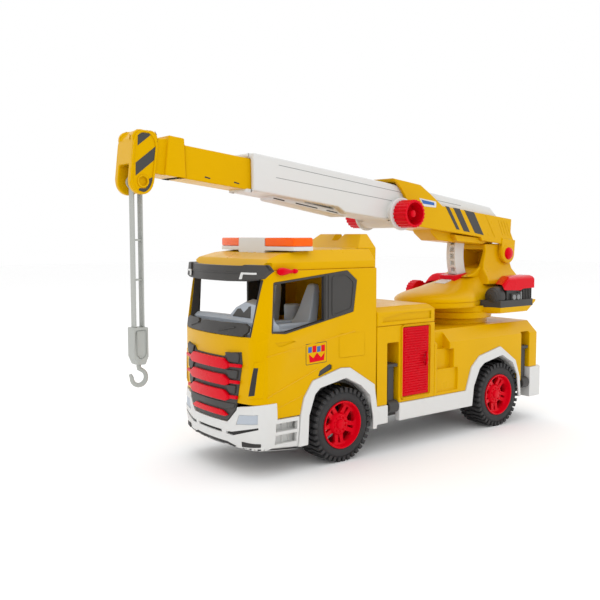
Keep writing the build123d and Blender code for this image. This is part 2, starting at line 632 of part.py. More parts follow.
def boom_base():
    outline = [(-4, 16), (-14, 17), (-4, 30), (-3, 48.5), (140, 48), (166, 61, 184, 69), (233, 70),
               (218, 60, 204, 44), (202, 22), (196, 18), (18, 18)]
    walls = profile(outline, 24.4, 29) + profile([(14, 12), (56, 12), (62, 20), (14, 20)], 24.4, 29)
    ear = profile([(15, 20), (14.5, 0), (0, -14, -14.5, 0), (-14, 20)], 24.4, 30.5)
    side = walls + ear - rod_y(-EXT_AXIS[0], EXT_AXIS[1], 17.3, 0, 60)
    floor = profile([(20, 16.5), (196, 16.5), (196, 19.2), (20, 19.2)], -29, 29)
    keel = profile([(33, 8), (128, 4.5), (142, 12), (146, 16.5), (33, 16.5)], -16, 16)
    rear = profile([(-3, 30), (2, 30), (2, 48), (-3, 48.5)], -24.4, 24.4)
    crest = profile([(178, 66), (184, 69), (233, 70), (227, 66)], -29, 29)
    return side + mirrored(side) + floor + keel + rear + crest


def boom_main():
    """White telescope section: a long box, open to the front, with the round gear housing through it."""
    outline = [(8, 19.4), (8, 40), (40, 60), (150, 63), (438, 66.4), (438, 26), (312, 24.4), (300, 19.4)]
    tube = profile(outline, -24.2, 24.2)
    tube -= profile([(11, 24), (11, 39), (42, 56), (58, 57), (58, 24)], -20, 20)
    tube -= profile([(428, 0), (440, 0), (440, 80), (438, 80)], 17, 60)
    tube -= profile([(428, 0), (440, 0), (440, 80), (438, 80)], -60, -17)
    keel = profile([(290, 15.4), (398, 21), (398, 27), (290, 22)], -13, 13)
    housing = rod_y(-EXT_AXIS[0], EXT_AXIS[1], 17, -33, 33)
    bore = profile([(60, 31.5), (60, 61), (450, 61), (450, 26.6), (266, 26.6), (266, 31.5)], -17.4, 17.4)
    gear_room = rod_y(-EXT_AXIS[0], EXT_AXIS[1], 14.4, -7, 7) + profile(
        [(200, 28), (231, 28), (231, 34), (200, 34)], -7, 7)
    shaft = rod_y(-EXT_AXIS[0], EXT_AXIS[1], AXLE_R + RUN_FIT, -40, 40)
    return tube + keel + housing - bore - gear_room - shaft


def boom_inner():
    """Yellow sliding section; its rack hangs under the top wall, above the extension pinion."""
    side = [(95, 31.8), (95, 60.6), (520, 60.6), (520, 27), (300, 27), (300, 31.8)]
    top = profile(side, -INNER_HALF, INNER_HALF)
    top -= profile([(94, 20), (94, 42.5), (400, 42.5), (400, 20)], -13.5, 13.5)
    pitch = math.pi * EXT_MODULE
    rack_line = EXT_AXIS[1] + EXT_MODULE * EXT_TEETH / 2
    rack = Part()
    for k in range(-19, 8):
        s = EXT_AXIS[0] + (k + 0.5) * pitch
        rack += profile([(s - 2.3, 42.6), (s - 1.35, rack_line), (s - 0.75, rack_line - 1.4),
                         (s + 0.75, rack_line - 1.4), (s + 1.35, rack_line), (s + 2.3, 42.6)], -5, 5)
    return top + rack


def boom_head():
    """Head block, neck and the two cheeks that carry the tip pulley."""
    block = profile([(511, 27), (517, 67), (535, 67), (535, 27)], -18.5, 18.5) - profile(
        [(500, 27), (500, 60.6), (520, 60.6), (520, 27)], -INNER_HALF, INNER_HALF)
    neck = profile([(535, 27), (535, 64), (547, 62), (547, 27)], -15, 15)
    cheek = profile([(546, 17.5), (546, 57), (548, 66, 557, 67.5), (564, 67.5), (571, 64, 572, 55),
                     (572, 17.5), (568, 8, 559, 4.5), (550, 8, 546, 17.5)], 11, INNER_HALF)
    front = profile([(566, 33), (566, 60), (546, 60), (546, 67), (557, 67.5), (564, 67.5), (572, 58),
                     (572, 33)], -12, 12)
    rear = profile([(546, 30), (546, 62), (550, 62), (550, 30)], -12, 12)
    head = block + neck + both(cheek) + front + rear
    hole = rod_y(-HEAD_PIN[0], HEAD_PIN[1], 2.5, -14.5, 14.5) + both(
        rod_y(-HEAD_PIN[0], HEAD_PIN[1], 4.6, 14.5, 20))
    return head - hole


def boom():
    base = boom_place(boom_base())
    white = boom_place(boom_main())
    pin = boom_place(rod_y(0, 0, 5, -30.5, 30.5) + both(rod_y(0, 0, 8.5, 30.5, 35)))
    outline = gear((-EXT_AXIS[0], EXT_AXIS[1]), EXT_TEETH, math.pi / 2, EXT_MODULE, 1.5, 1.9, 0.5)
    pinion = prism_y(outline, -5.5, 5.5) + rod_y(-EXT_AXIS[0], EXT_AXIS[1], AXLE_R, -50, 50)
    side = knob(-EXT_AXIS[0], EXT_AXIS[1], 17, 34, 55) - rod_y(-EXT_AXIS[0], EXT_AXIS[1], AXLE_R, 0, 90)
    export("boom_base", base - boom_place(rod_y(0, 0, 5, -60, 60)))
    export("boom_main", white - base)
    export("lift_column", lift_column() - base - white)
    export("boom_pin", pin)
    export("extension_pinion", boom_place(pinion))
    export("extension_knobs", boom_place(both(side)))
    export("boom_inner", boom_place(boom_inner()))
    export("boom_head", boom_place(boom_head()))
    export("head_pin", boom_place(rod_y(-HEAD_PIN[0], HEAD_PIN[1], 2.5, -14.5, 14.5)))


# Hanger: hangs plumb from the tip pulley

def head_centre():
    rise = math.radians(BOOM_RISE)
    s, t = HEAD_PIN
    back, up = -math.cos(rise), math.sin(rise)
    return (PIVOT[0] + s * back + t * up, PIVOT[1] + s * up - t * back)


def hanger():
    x, z = head_centre()
    inner = STRAP_HALF - 0.8
    pulley = rod_y(x, z, 3.2, -6, 6) + both(rod_y(x, z, 6.8, 5.6, 8))
    loop = tube_y(x, z, STRAP_HALF + 0.8, inner, -5, 5) & box(x - 10, x + 10, -6, 6, z, z + 10)
    bars = Part()
    for centre in (x - STRAP_HALF, x + STRAP_HALF):
        bars += box(centre - 0.8, centre + 0.8, -5, 5, BLOCK_TOP, z)
    for rung in (248, 208):
        bars += box(x - inner, x + inner, -5, 5, rung - 0.8, rung + 0.8)
    block = prism_y([(x - 8, BLOCK_TOP), (x + 8, BLOCK_TOP), (x + 8, 130), (x + 4.5, BLOCK_LOW),
                     (x - 4.5, BLOCK_LOW), (x - 8, 130)], -7.5, 7.5)
    block -= both(prism_y([(x - 5, 157), (x + 5, 157), (x + 5, 132), (x, 128), (x - 5, 132)], 6.5, 9))
    block -= rod_z(x, 0, 2.6, 120, 131)
    shank = rod_z(x, 0, 2.5, BLOCK_LOW - 6, 130)
    bend = Part() + Solid.make_torus(8.2, 2.6, Plane((x, 0, 108.4), z_dir=(0, 1, 0)))
    mouth = prism_y([(x - 20, 109.5), (x - 20, 130), (x, 130), (x, 108.4)], -9, 9)
    hook = shank + (bend - mouth)
    export("head_pulley", pulley - rod_y(x, z, 2.5 + RUN_FIT, -20, 20))
    export("hanger_bars", loop + bars)
    export("hook_block", block)
    export("hook", hook)


os.makedirs("parts", exist_ok=True)
running_gear()
cab()
body()
turntable()
boom()
hanger()
print("origin at x =", MID_X, "lift knob at", KNOB_AT, "head pin at", head_centre())
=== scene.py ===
import json
import math

import bmesh
import bpy
from mathutils import Matrix, Vector


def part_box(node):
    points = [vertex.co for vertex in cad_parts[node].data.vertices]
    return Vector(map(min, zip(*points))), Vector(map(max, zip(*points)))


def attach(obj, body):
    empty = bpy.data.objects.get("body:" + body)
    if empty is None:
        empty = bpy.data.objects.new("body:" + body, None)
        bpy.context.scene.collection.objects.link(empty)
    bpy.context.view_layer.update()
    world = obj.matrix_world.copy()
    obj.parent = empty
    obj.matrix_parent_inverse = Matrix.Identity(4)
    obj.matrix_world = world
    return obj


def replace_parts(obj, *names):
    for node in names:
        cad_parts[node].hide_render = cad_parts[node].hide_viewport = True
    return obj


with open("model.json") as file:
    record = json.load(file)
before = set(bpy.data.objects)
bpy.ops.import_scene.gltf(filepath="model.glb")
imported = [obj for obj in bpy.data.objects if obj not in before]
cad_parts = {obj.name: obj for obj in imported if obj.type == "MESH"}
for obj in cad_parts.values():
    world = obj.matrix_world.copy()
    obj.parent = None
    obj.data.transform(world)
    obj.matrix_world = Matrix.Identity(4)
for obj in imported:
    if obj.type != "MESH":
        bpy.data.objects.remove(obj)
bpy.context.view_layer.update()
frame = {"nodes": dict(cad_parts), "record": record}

# Sizes below are millimetres, laid out from the front axle: x runs back along the truck, y to its
# right, z up from the ground. put() turns them into the frame's metres.
MM = 0.001
AXLE_LOW, AXLE_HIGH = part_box("front_axle")
AXLE_X = (AXLE_LOW.x + AXLE_HIGH.x) / 2
WHEEL_R = 42.0
WHEEL_BASE = 271.5
SIDE = 76.0                # half width of the yellow bodywork
SILL_Z = 148.0             # foot of the windscreen
TURN_X = 265.0             # turning axis
PIVOT_X, PIVOT_Z = 342.0, 227.0
BOOM_RISE = math.radians(6.3)
BASE_FACE = 29.0           # half widths of the boom's base, and of its sliding section
INNER = 17.0

SLOT_OF = {s["node"]: s["material_slot"] for s in frame["record"]["subparts"]}
BODY_OF = {n: b for b, names in frame["record"]["behaviour"]["bodies"].items() for n in names}


def put(x, y, z):
    return Vector((AXLE_X + x * MM, y * MM, z * MM))


# Camera, floor and light

def look(name, place, azimuth, elevation, roll, lens):
    camera = bpy.data.objects.new(name, bpy.data.cameras.new(name))
    bpy.context.scene.collection.objects.link(camera)
    camera.data.lens = lens
    camera.data.sensor_width = 36
    camera.data.clip_start = 0.01
    camera.location = place
    turn = Matrix.Identity(4)
    for degrees, axis in ((azimuth, "Z"), (90 - elevation, "X"), (roll, "Z")):
        turn = turn @ Matrix.Rotation(math.radians(degrees), 4, axis)
    camera.rotation_euler = turn.to_euler()
    bpy.context.scene.camera = camera
    return camera


def softbox(name, place, aim, side, watts):
    data = bpy.data.lights.new(name, "AREA")
    data.shape = "SQUARE"
    data.size = side
    data.energy = watts
    lamp = bpy.data.objects.new(name, data)
    bpy.context.scene.collection.objects.link(lamp)
    lamp.location = place
    lamp.rotation_euler = (Vector(aim) - Vector(place)).to_track_quat("-Z", "Y").to_euler()


# Name, place in metres, side in metres, watts
LAMPS = (("key", (-0.9, -1.3, 1.5), 1.2, 3.2), ("side", (1.5, -1.4, 0.9), 1.0, 1.0),
         ("front", (-1.9, 0.5, 0.8), 1.0, 0.6), ("top", (0.0, 0.2, 1.9), 1.6, 6.0),
         ("back", (0.6, 1.9, 1.2), 1.6, 1.0))
MIDDLE = (0.03, 0, 0.12)
FLOOR_REACH = 6.0


def studio():
    camera = look("camera", put(-561.7, -724.6, 252.5), -37.50, 4.65, -0.05, 46.98)
    camera.data.shift_x = 0.0028
    camera.data.shift_y = -0.0017
    for name, place, side, watts in LAMPS:
        softbox(name, place, MIDDLE, side, watts)
    bpy.context.scene.view_settings.view_transform = "Standard"
    world = bpy.data.worlds.new("studio")
    bpy.context.scene.world = world
    world.use_nodes = True
    world.node_tree.nodes["Background"].inputs["Color"].default_value = (1, 1, 1, 1)
    world.node_tree.nodes["Background"].inputs["Strength"].default_value = 1.0
    floor_mesh = bpy.data.meshes.new("floor")
    corners = [(x * FLOOR_REACH, y * FLOOR_REACH, 0) for x, y in ((-1, -1), (1, -1), (1, 1), (-1, 1))]
    floor_mesh.from_pydata(corners, [], [(0, 1, 2, 3)])
    floor = bpy.data.objects.new("floor", floor_mesh)
    bpy.context.scene.collection.objects.link(floor)
    floor.data.materials.append(floor_paint())


def floor_paint():
    material = bpy.data.materials.new("floor_paper")
    material.use_nodes = True
    shader = material.node_tree.nodes["Principled BSDF"]
    shader.inputs["Base Color"].default_value = (0.985, 0.985, 0.985, 1)
    shader.inputs["Roughness"].default_value = 0.9
    return material


# Materials: moulded plastics, all from noise in object space

def srgb(*levels):
    """Linear colour from three levels out of 255."""
    shares = [value / 255 for value in levels]
    return tuple(c / 12.92 if c <= 0.04045 else ((c + 0.055) / 1.055) ** 2.4 for c in shares)


def noise(tree, space, scale, detail):
    """Noise in object space."""
    node = tree.nodes.new("ShaderNodeTexNoise")
    node.inputs["Scale"].default_value = scale
    node.inputs["Detail"].default_value = detail
    tree.links.new(space.outputs["Object"], node.inputs["Vector"])
    return node


def ramp(tree, value, source, target):
    """A value carried from one range to another."""
    node = tree.nodes.new("ShaderNodeMapRange")
    node.inputs["From Min"].default_value, node.inputs["From Max"].default_value = source
    node.inputs["To Min"].default_value, node.inputs["To Max"].default_value = target
    tree.links.new(value, node.inputs["Value"])
    return node.outputs["Result"]


def blend(tree, factor, first, second):
    """A mix of two colours; the first may be a socket."""
    node = tree.nodes.new("ShaderNodeMix")
    node.data_type = "RGBA"
    if isinstance(first, bpy.types.NodeSocket):
        tree.links.new(first, node.inputs["A"])
    else:
        node.inputs["A"].default_value = (*first, 1)
    node.inputs["B"].default_value = (*second, 1)
    tree.links.new(factor, node.inputs["Factor"])
    return node.outputs["Result"]


FLOW_SCALE, SMEAR_SCALE = 14.0, 45.0
WORN_EDGE = 0.10


def plastic(name, colour, roughness=0.38, coat=0.0, tint=0.06, bump=0.08, grain=900.0, gloss=0.5, glow=0.0,
            shine=(1, 1, 1)):
    """Moulded plastic: faint flow marks in the colour, paler worn edges, uneven gloss and a fine grain."""
    material = bpy.data.materials.new(name)
    material.use_nodes = True
    tree = material.node_tree
    shader = tree.nodes["Principled BSDF"]
    shader.inputs["Coat Weight"].default_value = coat
    shader.inputs["Coat Roughness"].default_value = 0.15
    shader.inputs["Specular IOR Level"].default_value = gloss
    shader.inputs["Specular Tint"].default_value = (*shine, 1)
    if glow:
        shader.inputs["Subsurface Weight"].default_value = glow
        shader.inputs["Subsurface Scale"].default_value = 0.004
    space = tree.nodes.new("ShaderNodeTexCoord")

    flow = noise(tree, space, FLOW_SCALE, 4.0)
    flow.inputs["Distortion"].default_value = 0.6
    shade = blend(tree, flow.outputs["Fac"], [c * (1 - tint) for c in colour],
                  [min(1.0, c * (1 + tint)) for c in colour])
    geometry = tree.nodes.new("ShaderNodeNewGeometry")
    wear = ramp(tree, geometry.outputs["Pointiness"], (0.54, 0.66), (0.0, WORN_EDGE))
    paler = blend(tree, wear, shade, [min(1.0, c * 1.2 + 0.03) for c in colour])
    tree.links.new(paler, shader.inputs["Base Color"])

    smear = noise(tree, space, SMEAR_SCALE, 5.0)
    sheen = ramp(tree, smear.outputs["Fac"], (0.3, 0.7), (roughness - 0.05, roughness + 0.06))
    tree.links.new(sheen, shader.inputs["Roughness"])

    relief = tree.nodes.new("ShaderNodeBump")
    relief.inputs["Strength"].default_value = bump
    relief.inputs["Distance"].default_value = 0.0002
    tree.links.new(noise(tree, space, grain, 2.0).outputs["Fac"], relief.inputs["Height"])
    tree.links.new(relief.outputs["Normal"], shader.inputs["Normal"])
    return material


PAINT = {
    "yellow_body": plastic("yellow_plastic", srgb(217, 166, 0), 0.32, gloss=0.35, shine=(1, 0.72, 0.0)),
    "white_trim": plastic("white_plastic", srgb(214, 214, 212), 0.40, tint=0.02, gloss=0.4),
    "red_plastic": plastic("red_plastic", srgb(213, 0, 24), 0.28, gloss=0.4, shine=(1, 0.06, 0.12)),
    # Dark plastic; in the door handles' hollows and inside the windscreen's pillars it is painted shade.
    "dark_plastic": plastic("dark_plastic", srgb(56, 54, 52), 0.45, tint=0.10, bump=0.2, gloss=0.45),
    "grey_interior": plastic("grey_plastic", srgb(178, 186, 196), 0.45, tint=0.03, gloss=0.4),
    "hanger_grey": plastic("hanger_plastic", srgb(170, 172, 167), 0.45, tint=0.03, gloss=0.4),
    "tyre_rubber": plastic("tyre_rubber", srgb(42, 41, 42), 0.60, tint=0.15, bump=0.35, grain=1400.0,
                           gloss=0.4),
    "orange_lens": plastic("orange_lens", srgb(247, 96, 0), 0.20, coat=0.2, glow=0.3, shine=(1, 0.5, 0.1)),
    "axle_steel": plastic("axle_steel", srgb(170, 172, 174), 0.30, tint=0.04),
}
BLUE = plastic("sticker_blue", srgb(20, 90, 170), 0.35)
# Mid grey: the engines' own caps and strap, and painted shade in the boom's grooves.
GREY_CAPS_AND_GROOVE_SHADE = plastic("grey_caps_and_groove_shade", srgb(128, 130, 130), 0.35)
# Near black plastic: painted shade in slots, gaps, notches and inside the cab; also the badge's printed edge
# and the fog lamps.
SHADE_AND_TRIM_DARK = plastic("painted_shade_and_dark_trim", srgb(34, 32, 31), 0.60, tint=0.10)


# Mesh helpers. A work is a bmesh in millimetres from the front axle, until build() makes a piece of it.

def link(name, mesh):
    piece = bpy.data.objects.new(name, mesh)
    bpy.context.scene.collection.objects.link(piece)
    return piece


def apply(piece):
    """Puts a piece's modifiers into its mesh."""
    graph = bpy.context.evaluated_depsgraph_get()
    mesh = bpy.data.meshes.new_from_object(piece.evaluated_get(graph))
    piece.modifiers.clear()
    piece.data = mesh
    return piece


def shape(points, faces):
    work = bmesh.new()
    corners = [work.verts.new(p) for p in points]
    for face in faces:
        work.faces.new([corners[k] for k in face])
    bmesh.ops.recalc_face_normals(work, faces=work.faces)
    return work


def together(*works):
    """One work from several, which stay whole."""
    joined = works[0]
    for work in works[1:]:
        spare = bpy.data.meshes.new("spare")
        work.to_mesh(spare)
        work.free()
        joined.from_mesh(spare)
        bpy.data.meshes.remove(spare)
    return joined


def prism(outline, axis, low, high):
    """A flat outline pushed along an axis: (y, z) points for x, (x, z) for y, (x, y) for z."""
    count = len(outline)
    points = [{"x": (c, a, b), "y": (a, c, b), "z": (a, b, c)}[axis] for c in (low, high) for a, b in outline]
    faces = [tuple(range(count)), tuple(range(count, 2 * count))]
    faces += [(k, (k + 1) % count, count + (k + 1) % count, count + k) for k in range(count)]
    return shape(points, faces)


def block(x0, x1, y0, y1, z0, z1):
    return prism([(x0, z0), (x1, z0), (x1, z1), (x0, z1)], "y", y0, y1)


def lathe(profile, centre, axis="y", steps=48, sign=1):
    """A closed profile of (radius, distance) turned about an axis through a centre."""
    points, faces = [], []
    for k in range(steps):
        a = 2 * math.pi * k / steps
        for r, d in profile:
            u, v, w = r * math.cos(a), r * math.sin(a), d * sign
            local = {"y": (u, w, v), "x": (w, u, v), "z": (u, v, w)}[axis]
            points.append([c + e for c, e in zip(centre, local)])
    n = len(profile)
    for k in range(steps):
        here, there = k * n, (k + 1) % steps * n
        for j in range(n):
            i = (j + 1) % n
            faces.append((here + j, here + i, there + i, there + j))
    work = shape(points, faces)
    bmesh.ops.remove_doubles(work, verts=work.verts, dist=0.02)
    bmesh.ops.dissolve_degenerate(work, edges=work.edges, dist=0.01)
    bmesh.ops.recalc_face_normals(work, faces=work.faces)
    return work


def lofted(rings):
    """A closed work through rings of equal length, flat at both ends."""
    n = len(rings[0])
    points = [p for ring in rings for p in ring]
    faces = [tuple(range(n)), tuple(range((len(rings) - 1) * n, len(rings) * n))]
    for here in range(0, (len(rings) - 1) * n, n):
        there = here + n
        faces += [(here + j, here + (j + 1) % n, there + (j + 1) % n, there + j) for j in range(n)]
    return shape(points, faces)


def band(outer, inner, y0, y1):
    """A flat ring between two side outlines of equal length."""
    n = len(outer)
    points = [(x, y, z) for y in (y0, y1) for x, z in outer + inner]
    faces = []
    for k in range(n):
        j, far = (k + 1) % n, 2 * n
        faces += [(k, j, j + n, k + n), (far + k, far + j, far + j + n, far + k + n),
                  (k, j, far + j, far + k), (k + n, j + n, far + j + n, far + k + n)]
    return shape(points, faces)


def rounded(outline, radius, steps=5):
    """An outline with its corners turned to arcs."""
    count, points = len(outline), []
    for k in range(count):
        here = Vector(outline[k])
        back, on = Vector(outline[k - 1]) - here, Vector(outline[(k + 1) % count]) - here
        reach = min(radius, back.length * 0.45, on.length * 0.45)
        start, end = here + back.normalized() * reach, here + on.normalized() * reach
        for j in range(steps + 1):
            t = j / steps
            points.append(tuple((1 - t) ** 2 * start + 2 * t * (1 - t) * here + t ** 2 * end))
    return points


def shrunk(outline, amount):
    """An outline pulled towards its middle by an amount."""
    middle = sum((Vector(p) for p in outline), Vector((0, 0))) / len(outline)
    arms = [Vector(p) - middle for p in outline]
    return [tuple(middle + arm * (1 - amount / arm.length)) for arm in arms]


def mirrored(work):
    """The same work on the other side of the middle plane."""
    other = work.copy()
    bmesh.ops.scale(other, vec=(1, -1, 1), verts=other.verts)
    bmesh.ops.reverse_faces(other, faces=other.faces)
    return other


def both(work):
    return together(mirrored(work), work)


def tube(path, radii, sides=14):
    """A round bar along a list of points, with a radius for each."""
    points, faces = [], []
    path = [Vector(p) for p in path]
    up = Vector((0, 1, 0))
    for k, here in enumerate(path):
        ahead = (path[min(k + 1, len(path) - 1)] - path[max(k - 1, 0)]).normalized()
        side = ahead.cross(up).normalized()
        for j in range(sides):
            a = 2 * math.pi * j / sides
            points.append(here + radii[k] * (math.cos(a) * side + math.sin(a) * up))
    for k in range(len(path) - 1):
        for j in range(sides):
            i = (j + 1) % sides
            faces.append((k * sides + j, k * sides + i, (k + 1) * sides + i, (k + 1) * sides + j))
    faces.append(tuple(range(sides)))
    faces.append(tuple(range((len(path) - 1) * sides, len(path) * sides)))
    return shape(points, faces)


SHARP_ANGLE = math.radians(50.0)       # an edge this steep stays sharp in the shading
ROUND_ANGLE = math.radians(28.0)       # an edge this steep is rounded
FLAT_ANGLE = math.radians(1.5)         # CAD triangles this level become one face


def level(piece):
    """Smooth shading with flat faces kept flat and steep edges kept sharp."""
    mesh = piece.data
    mesh.polygons.foreach_set("use_smooth", [True] * len(mesh.polygons))
    mesh.set_sharp_from_angle(angle=SHARP_ANGLE)
    weigh = piece.modifiers.new("weigh", "WEIGHTED_NORMAL")
    weigh.keep_sharp = True
    return apply(piece)


def soften(piece, width, clamp=False):
    """Rounds a piece's sharp edges by a width in millimetres."""
    edge = piece.modifiers.new("round", "BEVEL")
    edge.width = width * MM
    edge.segments = 2
    edge.limit_method = "ANGLE"
    edge.angle_limit = ROUND_ANGLE
    edge.use_clamp_overlap = clamp
    edge.miter_outer = "MITER_ARC"
    return apply(piece)


def raw(name, work):
    """A work as an object, in the frame's metres."""
    bmesh.ops.scale(work, vec=(MM, MM, MM), verts=work.verts)
    bmesh.ops.translate(work, vec=put(0, 0, 0), verts=work.verts)
    mesh = bpy.data.meshes.new(name)
    work.to_mesh(mesh)
    work.free()
    return link(name, mesh)


def carve(piece, work):
    """Cuts a work out of a piece."""
    cutter = raw("cutter", work)
    cut = piece.modifiers.new("cut", "BOOLEAN")
    cut.operation = "DIFFERENCE"
    cut.solver = "EXACT"
    cut.use_self = True
    cut.object = cutter
    apply(piece)
    bpy.data.objects.remove(cutter)
    return piece


def settle(piece, body, slot, paint=None):
    level(piece)
    piece.data.materials.clear()
    piece.data.materials.append(paint or PAINT[slot])
    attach(piece, body)
    return piece


def build(name, work, body, slot, width=0.0, cuts=None, paint=None, clamp=False):
    """A piece made from a work: rounded, cut, painted and put on its body."""
    piece = raw(name, work)
    if width:
        soften(piece, width, clamp)
    if cuts:
        carve(piece, cuts)
    return settle(piece, body, slot, paint)


def moulded(node, width, cuts=None):
    """A rounded copy of a CAD node, which it replaces."""
    mesh = frame["nodes"][node].data.copy()
    work = bmesh.new()
    work.from_mesh(mesh)
    bmesh.ops.remove_doubles(work, verts=work.verts, dist=2e-6)
    bmesh.ops.dissolve_limit(work, angle_limit=FLAT_ANGLE, verts=work.verts, edges=work.edges)
    work.to_mesh(mesh)
    work.free()
    piece = link(node + "_shell", mesh)
    soften(piece, width)
    if cuts:
        carve(piece, cuts)
    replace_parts(piece, node)
    return settle(piece, BODY_OF[node], SLOT_OF[node])


# Wheels

LUGS = 36
LUG_ROWS = ((58.0, 73.6, 0.0, 0.05), (48.5, 57.0, 0.5, -0.04), (39.4, 47.5, 0.0, 0.05))


def lug(x, turn, y0, y1, slant, base, top, sign):
    """One tread block, slanted across the tyre."""
    half = math.pi / LUGS * 0.56
    points = []
    for r in (base, top):
        for y, shift in ((y0, 0.0), (y1, slant)):
            for a in (turn + shift - half, turn + shift + half):
                points.append((x + r * math.cos(a), sign * y, WHEEL_R + r * math.sin(a)))
    return shape(points, [(0, 1, 3, 2), (4, 5, 7, 6), (0, 1, 5, 4), (2, 3, 7, 6), (0, 2, 6, 4), (1, 3, 7, 5)])


# Half sections of the tyre and the wheel: radius, distance from the middle
TYRE_LINE = [(27.0, 39.6), (31.0, 38.8), (37.0, 39.4), (39.2, 41.5), (39.6, 56.5), (39.2, 71.0),
             (37.6, 73.0), (35.6, 73.3), (35.0, 74.1), (33.8, 74.5), (30.4, 74.5), (29.4, 73.9),
             (28.2, 73.7), (27.0, 73.0)]
RIM_LINE = [(27.0, 40.5), (27.0, 74.0), (26.3, 74.6), (25.2, 74.4), (24.4, 72.5), (23.8, 69.8),
            (22.4, 68.0), (13.0, 67.0), (11.5, 68.8), (10.3, 69.4), (6.0, 69.6), (5.4, 71.0),
            (4.6, 71.5), (0.0, 71.6), (0.0, 63.5), (21.0, 63.5), (24.2, 61.0), (24.2, 40.5)]
SHOULDER_Y = 70.0          # blocks past this also grip the tyre's side
BOLT_RING, BOLTS = 8.2, 10


def tyre(x, sign):
    """A tyre with rows of tread blocks."""
    works = [lathe(TYRE_LINE, (x, 0, WHEEL_R), steps=72, sign=sign)]
    for y0, y1, step, slant in LUG_ROWS:
        for k in range(LUGS):
            turn = 2 * math.pi * (k + step) / LUGS
            works.append(lug(x, turn, y0, y1, slant, 38.6, 41.9, sign))
            if y1 > SHOULDER_Y:
                works.append(lug(x, turn + slant, y1 - 3, y1 + 0.5, 0.0, 36.4, 40.6, sign))
    return together(*works)


def rim(x, sign):
    return lathe(RIM_LINE, (x, 0, WHEEL_R), steps=60, sign=sign)


def rim_cuts(x, sign):
    """Five large openings, and five narrow ones inside the double spokes between them."""
    works = []
    for k in range(5):
        middle = math.radians(90 + 72 * k)
        large = [(12.8, 0.13), (17.0, 0.27), (20.5, 0.33), (22.3, 0.26), (22.9, 0.0)]
        narrow = [(13.2, 0.05), (17.0, 0.075), (21.0, 0.085), (21.8, 0.0)]
        for turn, half in ((middle, large), (middle + math.pi / 5, narrow)):
            edge = half + [(r, -w) for r, w in reversed(half) if w]
            outline = [(x + r * math.cos(turn + w), WHEEL_R + r * math.sin(turn + w)) for r, w in edge]
            works.append(prism(outline, "y", *sorted((sign * 61.5, sign * 80.0))))
    return together(*works)


def bolts(x, sign):
    """Small round bolt heads in a ring."""
    head = [(0, 69.0), (1.15, 69.0), (1.15, 70.4), (0.7, 70.9), (0, 70.9)]
    works = []
    for k in range(BOLTS):
        a = 2 * math.pi * (k + 0.5) / BOLTS
        place = (x + BOLT_RING * math.cos(a), 0, WHEEL_R + BOLT_RING * math.sin(a))
        works.append(lathe(head, place, steps=8, sign=sign))
    return together(*works)


def wheels():
    for end, x in (("front", 0.0), ("rear", WHEEL_BASE)):
        for side, sign in (("left", -1), ("right", 1)):
            body = f"{end}_wheels"
            tread = build(f"{end}_{side}_tread", tyre(x, sign), body, "tyre_rubber")
            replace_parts(tread, f"{end}_tyre_{side}")
            disc = build(f"{end}_{side}_disc", rim(x, sign), body, "red_plastic", cuts=rim_cuts(x, sign))
            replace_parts(disc, f"{end}_rim_{side}")
            build(f"{end}_{side}_bolts", bolts(x, sign), body, "red_plastic")


# Cab front: flat shapes in (y, z), bent onto the bowed front and its leaning windscreen

BOW_R = 229.0
NOSE_X = -127.0
CORNER = ((-119.0, 60.0), (-112.0, 72.0), (-98.0, 76.0))
SCREEN_LEAN = 0.136        # how far the front leans back for each unit of height over the sill


def circle_through(a, b, c):
    """Centre and radius of the circle through three points."""
    p, q = Vector(b) - Vector(a), Vector(c) - Vector(a)
    twice = 2 * (p.x * q.y - p.y * q.x)
    centre = Vector(((q.y * p.length_squared - p.y * q.length_squared) / twice,
                     (p.x * q.length_squared - q.x * p.length_squared) / twice))
    return Vector(a) + centre, centre.length


CORNER_CENTRE, CORNER_R = circle_through(*CORNER)


def cab_front(y, z):
    """Where the cab's front is, at a distance across and a height."""
    y = abs(y)
    if y <= CORNER[0][1]:
        x = NOSE_X + BOW_R - math.sqrt(BOW_R ** 2 - y * y)
    else:
        across = min(y, SIDE - 0.1) - CORNER_CENTRE.y
        x = CORNER_CENTRE.x - math.sqrt(CORNER_R ** 2 - across ** 2)
    return x + max(0.0, z - SILL_Z) * SCREEN_LEAN


def fronted(outline, inner, outer, step=4.0):
    """A plate on the cab's front, from an inner to an outer height above it."""
    work = prism(outline, "x", -outer, -inner)
    low, high = min(p[0] for p in outline), max(p[0] for p in outline)
    for k in range(1, int((high - low) / step) + 1):
        everything = work.verts[:] + work.edges[:] + work.faces[:]
        bmesh.ops.bisect_plane(work, geom=everything, plane_co=(0, low + k * step, 0), plane_no=(0, 1, 0))
    for corner in work.verts:
        corner.co.x += cab_front(corner.co.y, corner.co.z)
    return work


def even(half):
    """A symmetric outline from its right half, which runs from the bottom to the top."""
    return [(y, z) for y, z in half] + [(-y, z) for y, z in reversed(half)]


FRAME_HALF = [(32, 57.5), (36, 60.5), (45.8, 71), (47.2, 79), (49, 88), (55, 121), (53.8, 132.4),
              (33, 130), (28.5, 125.8)]
# Pads: foot, top, inner edge, outer edge. Bars: top, half length.
PADS = ((121.0, 131.2, 32.0, 52.8), (104.2, 113.0, 33.0, 50.6), (88.2, 96.8, 33.0, 47.4))
BARS = ((124.4, 55.8), (107.0, 52.6), (90.8, 49.6))


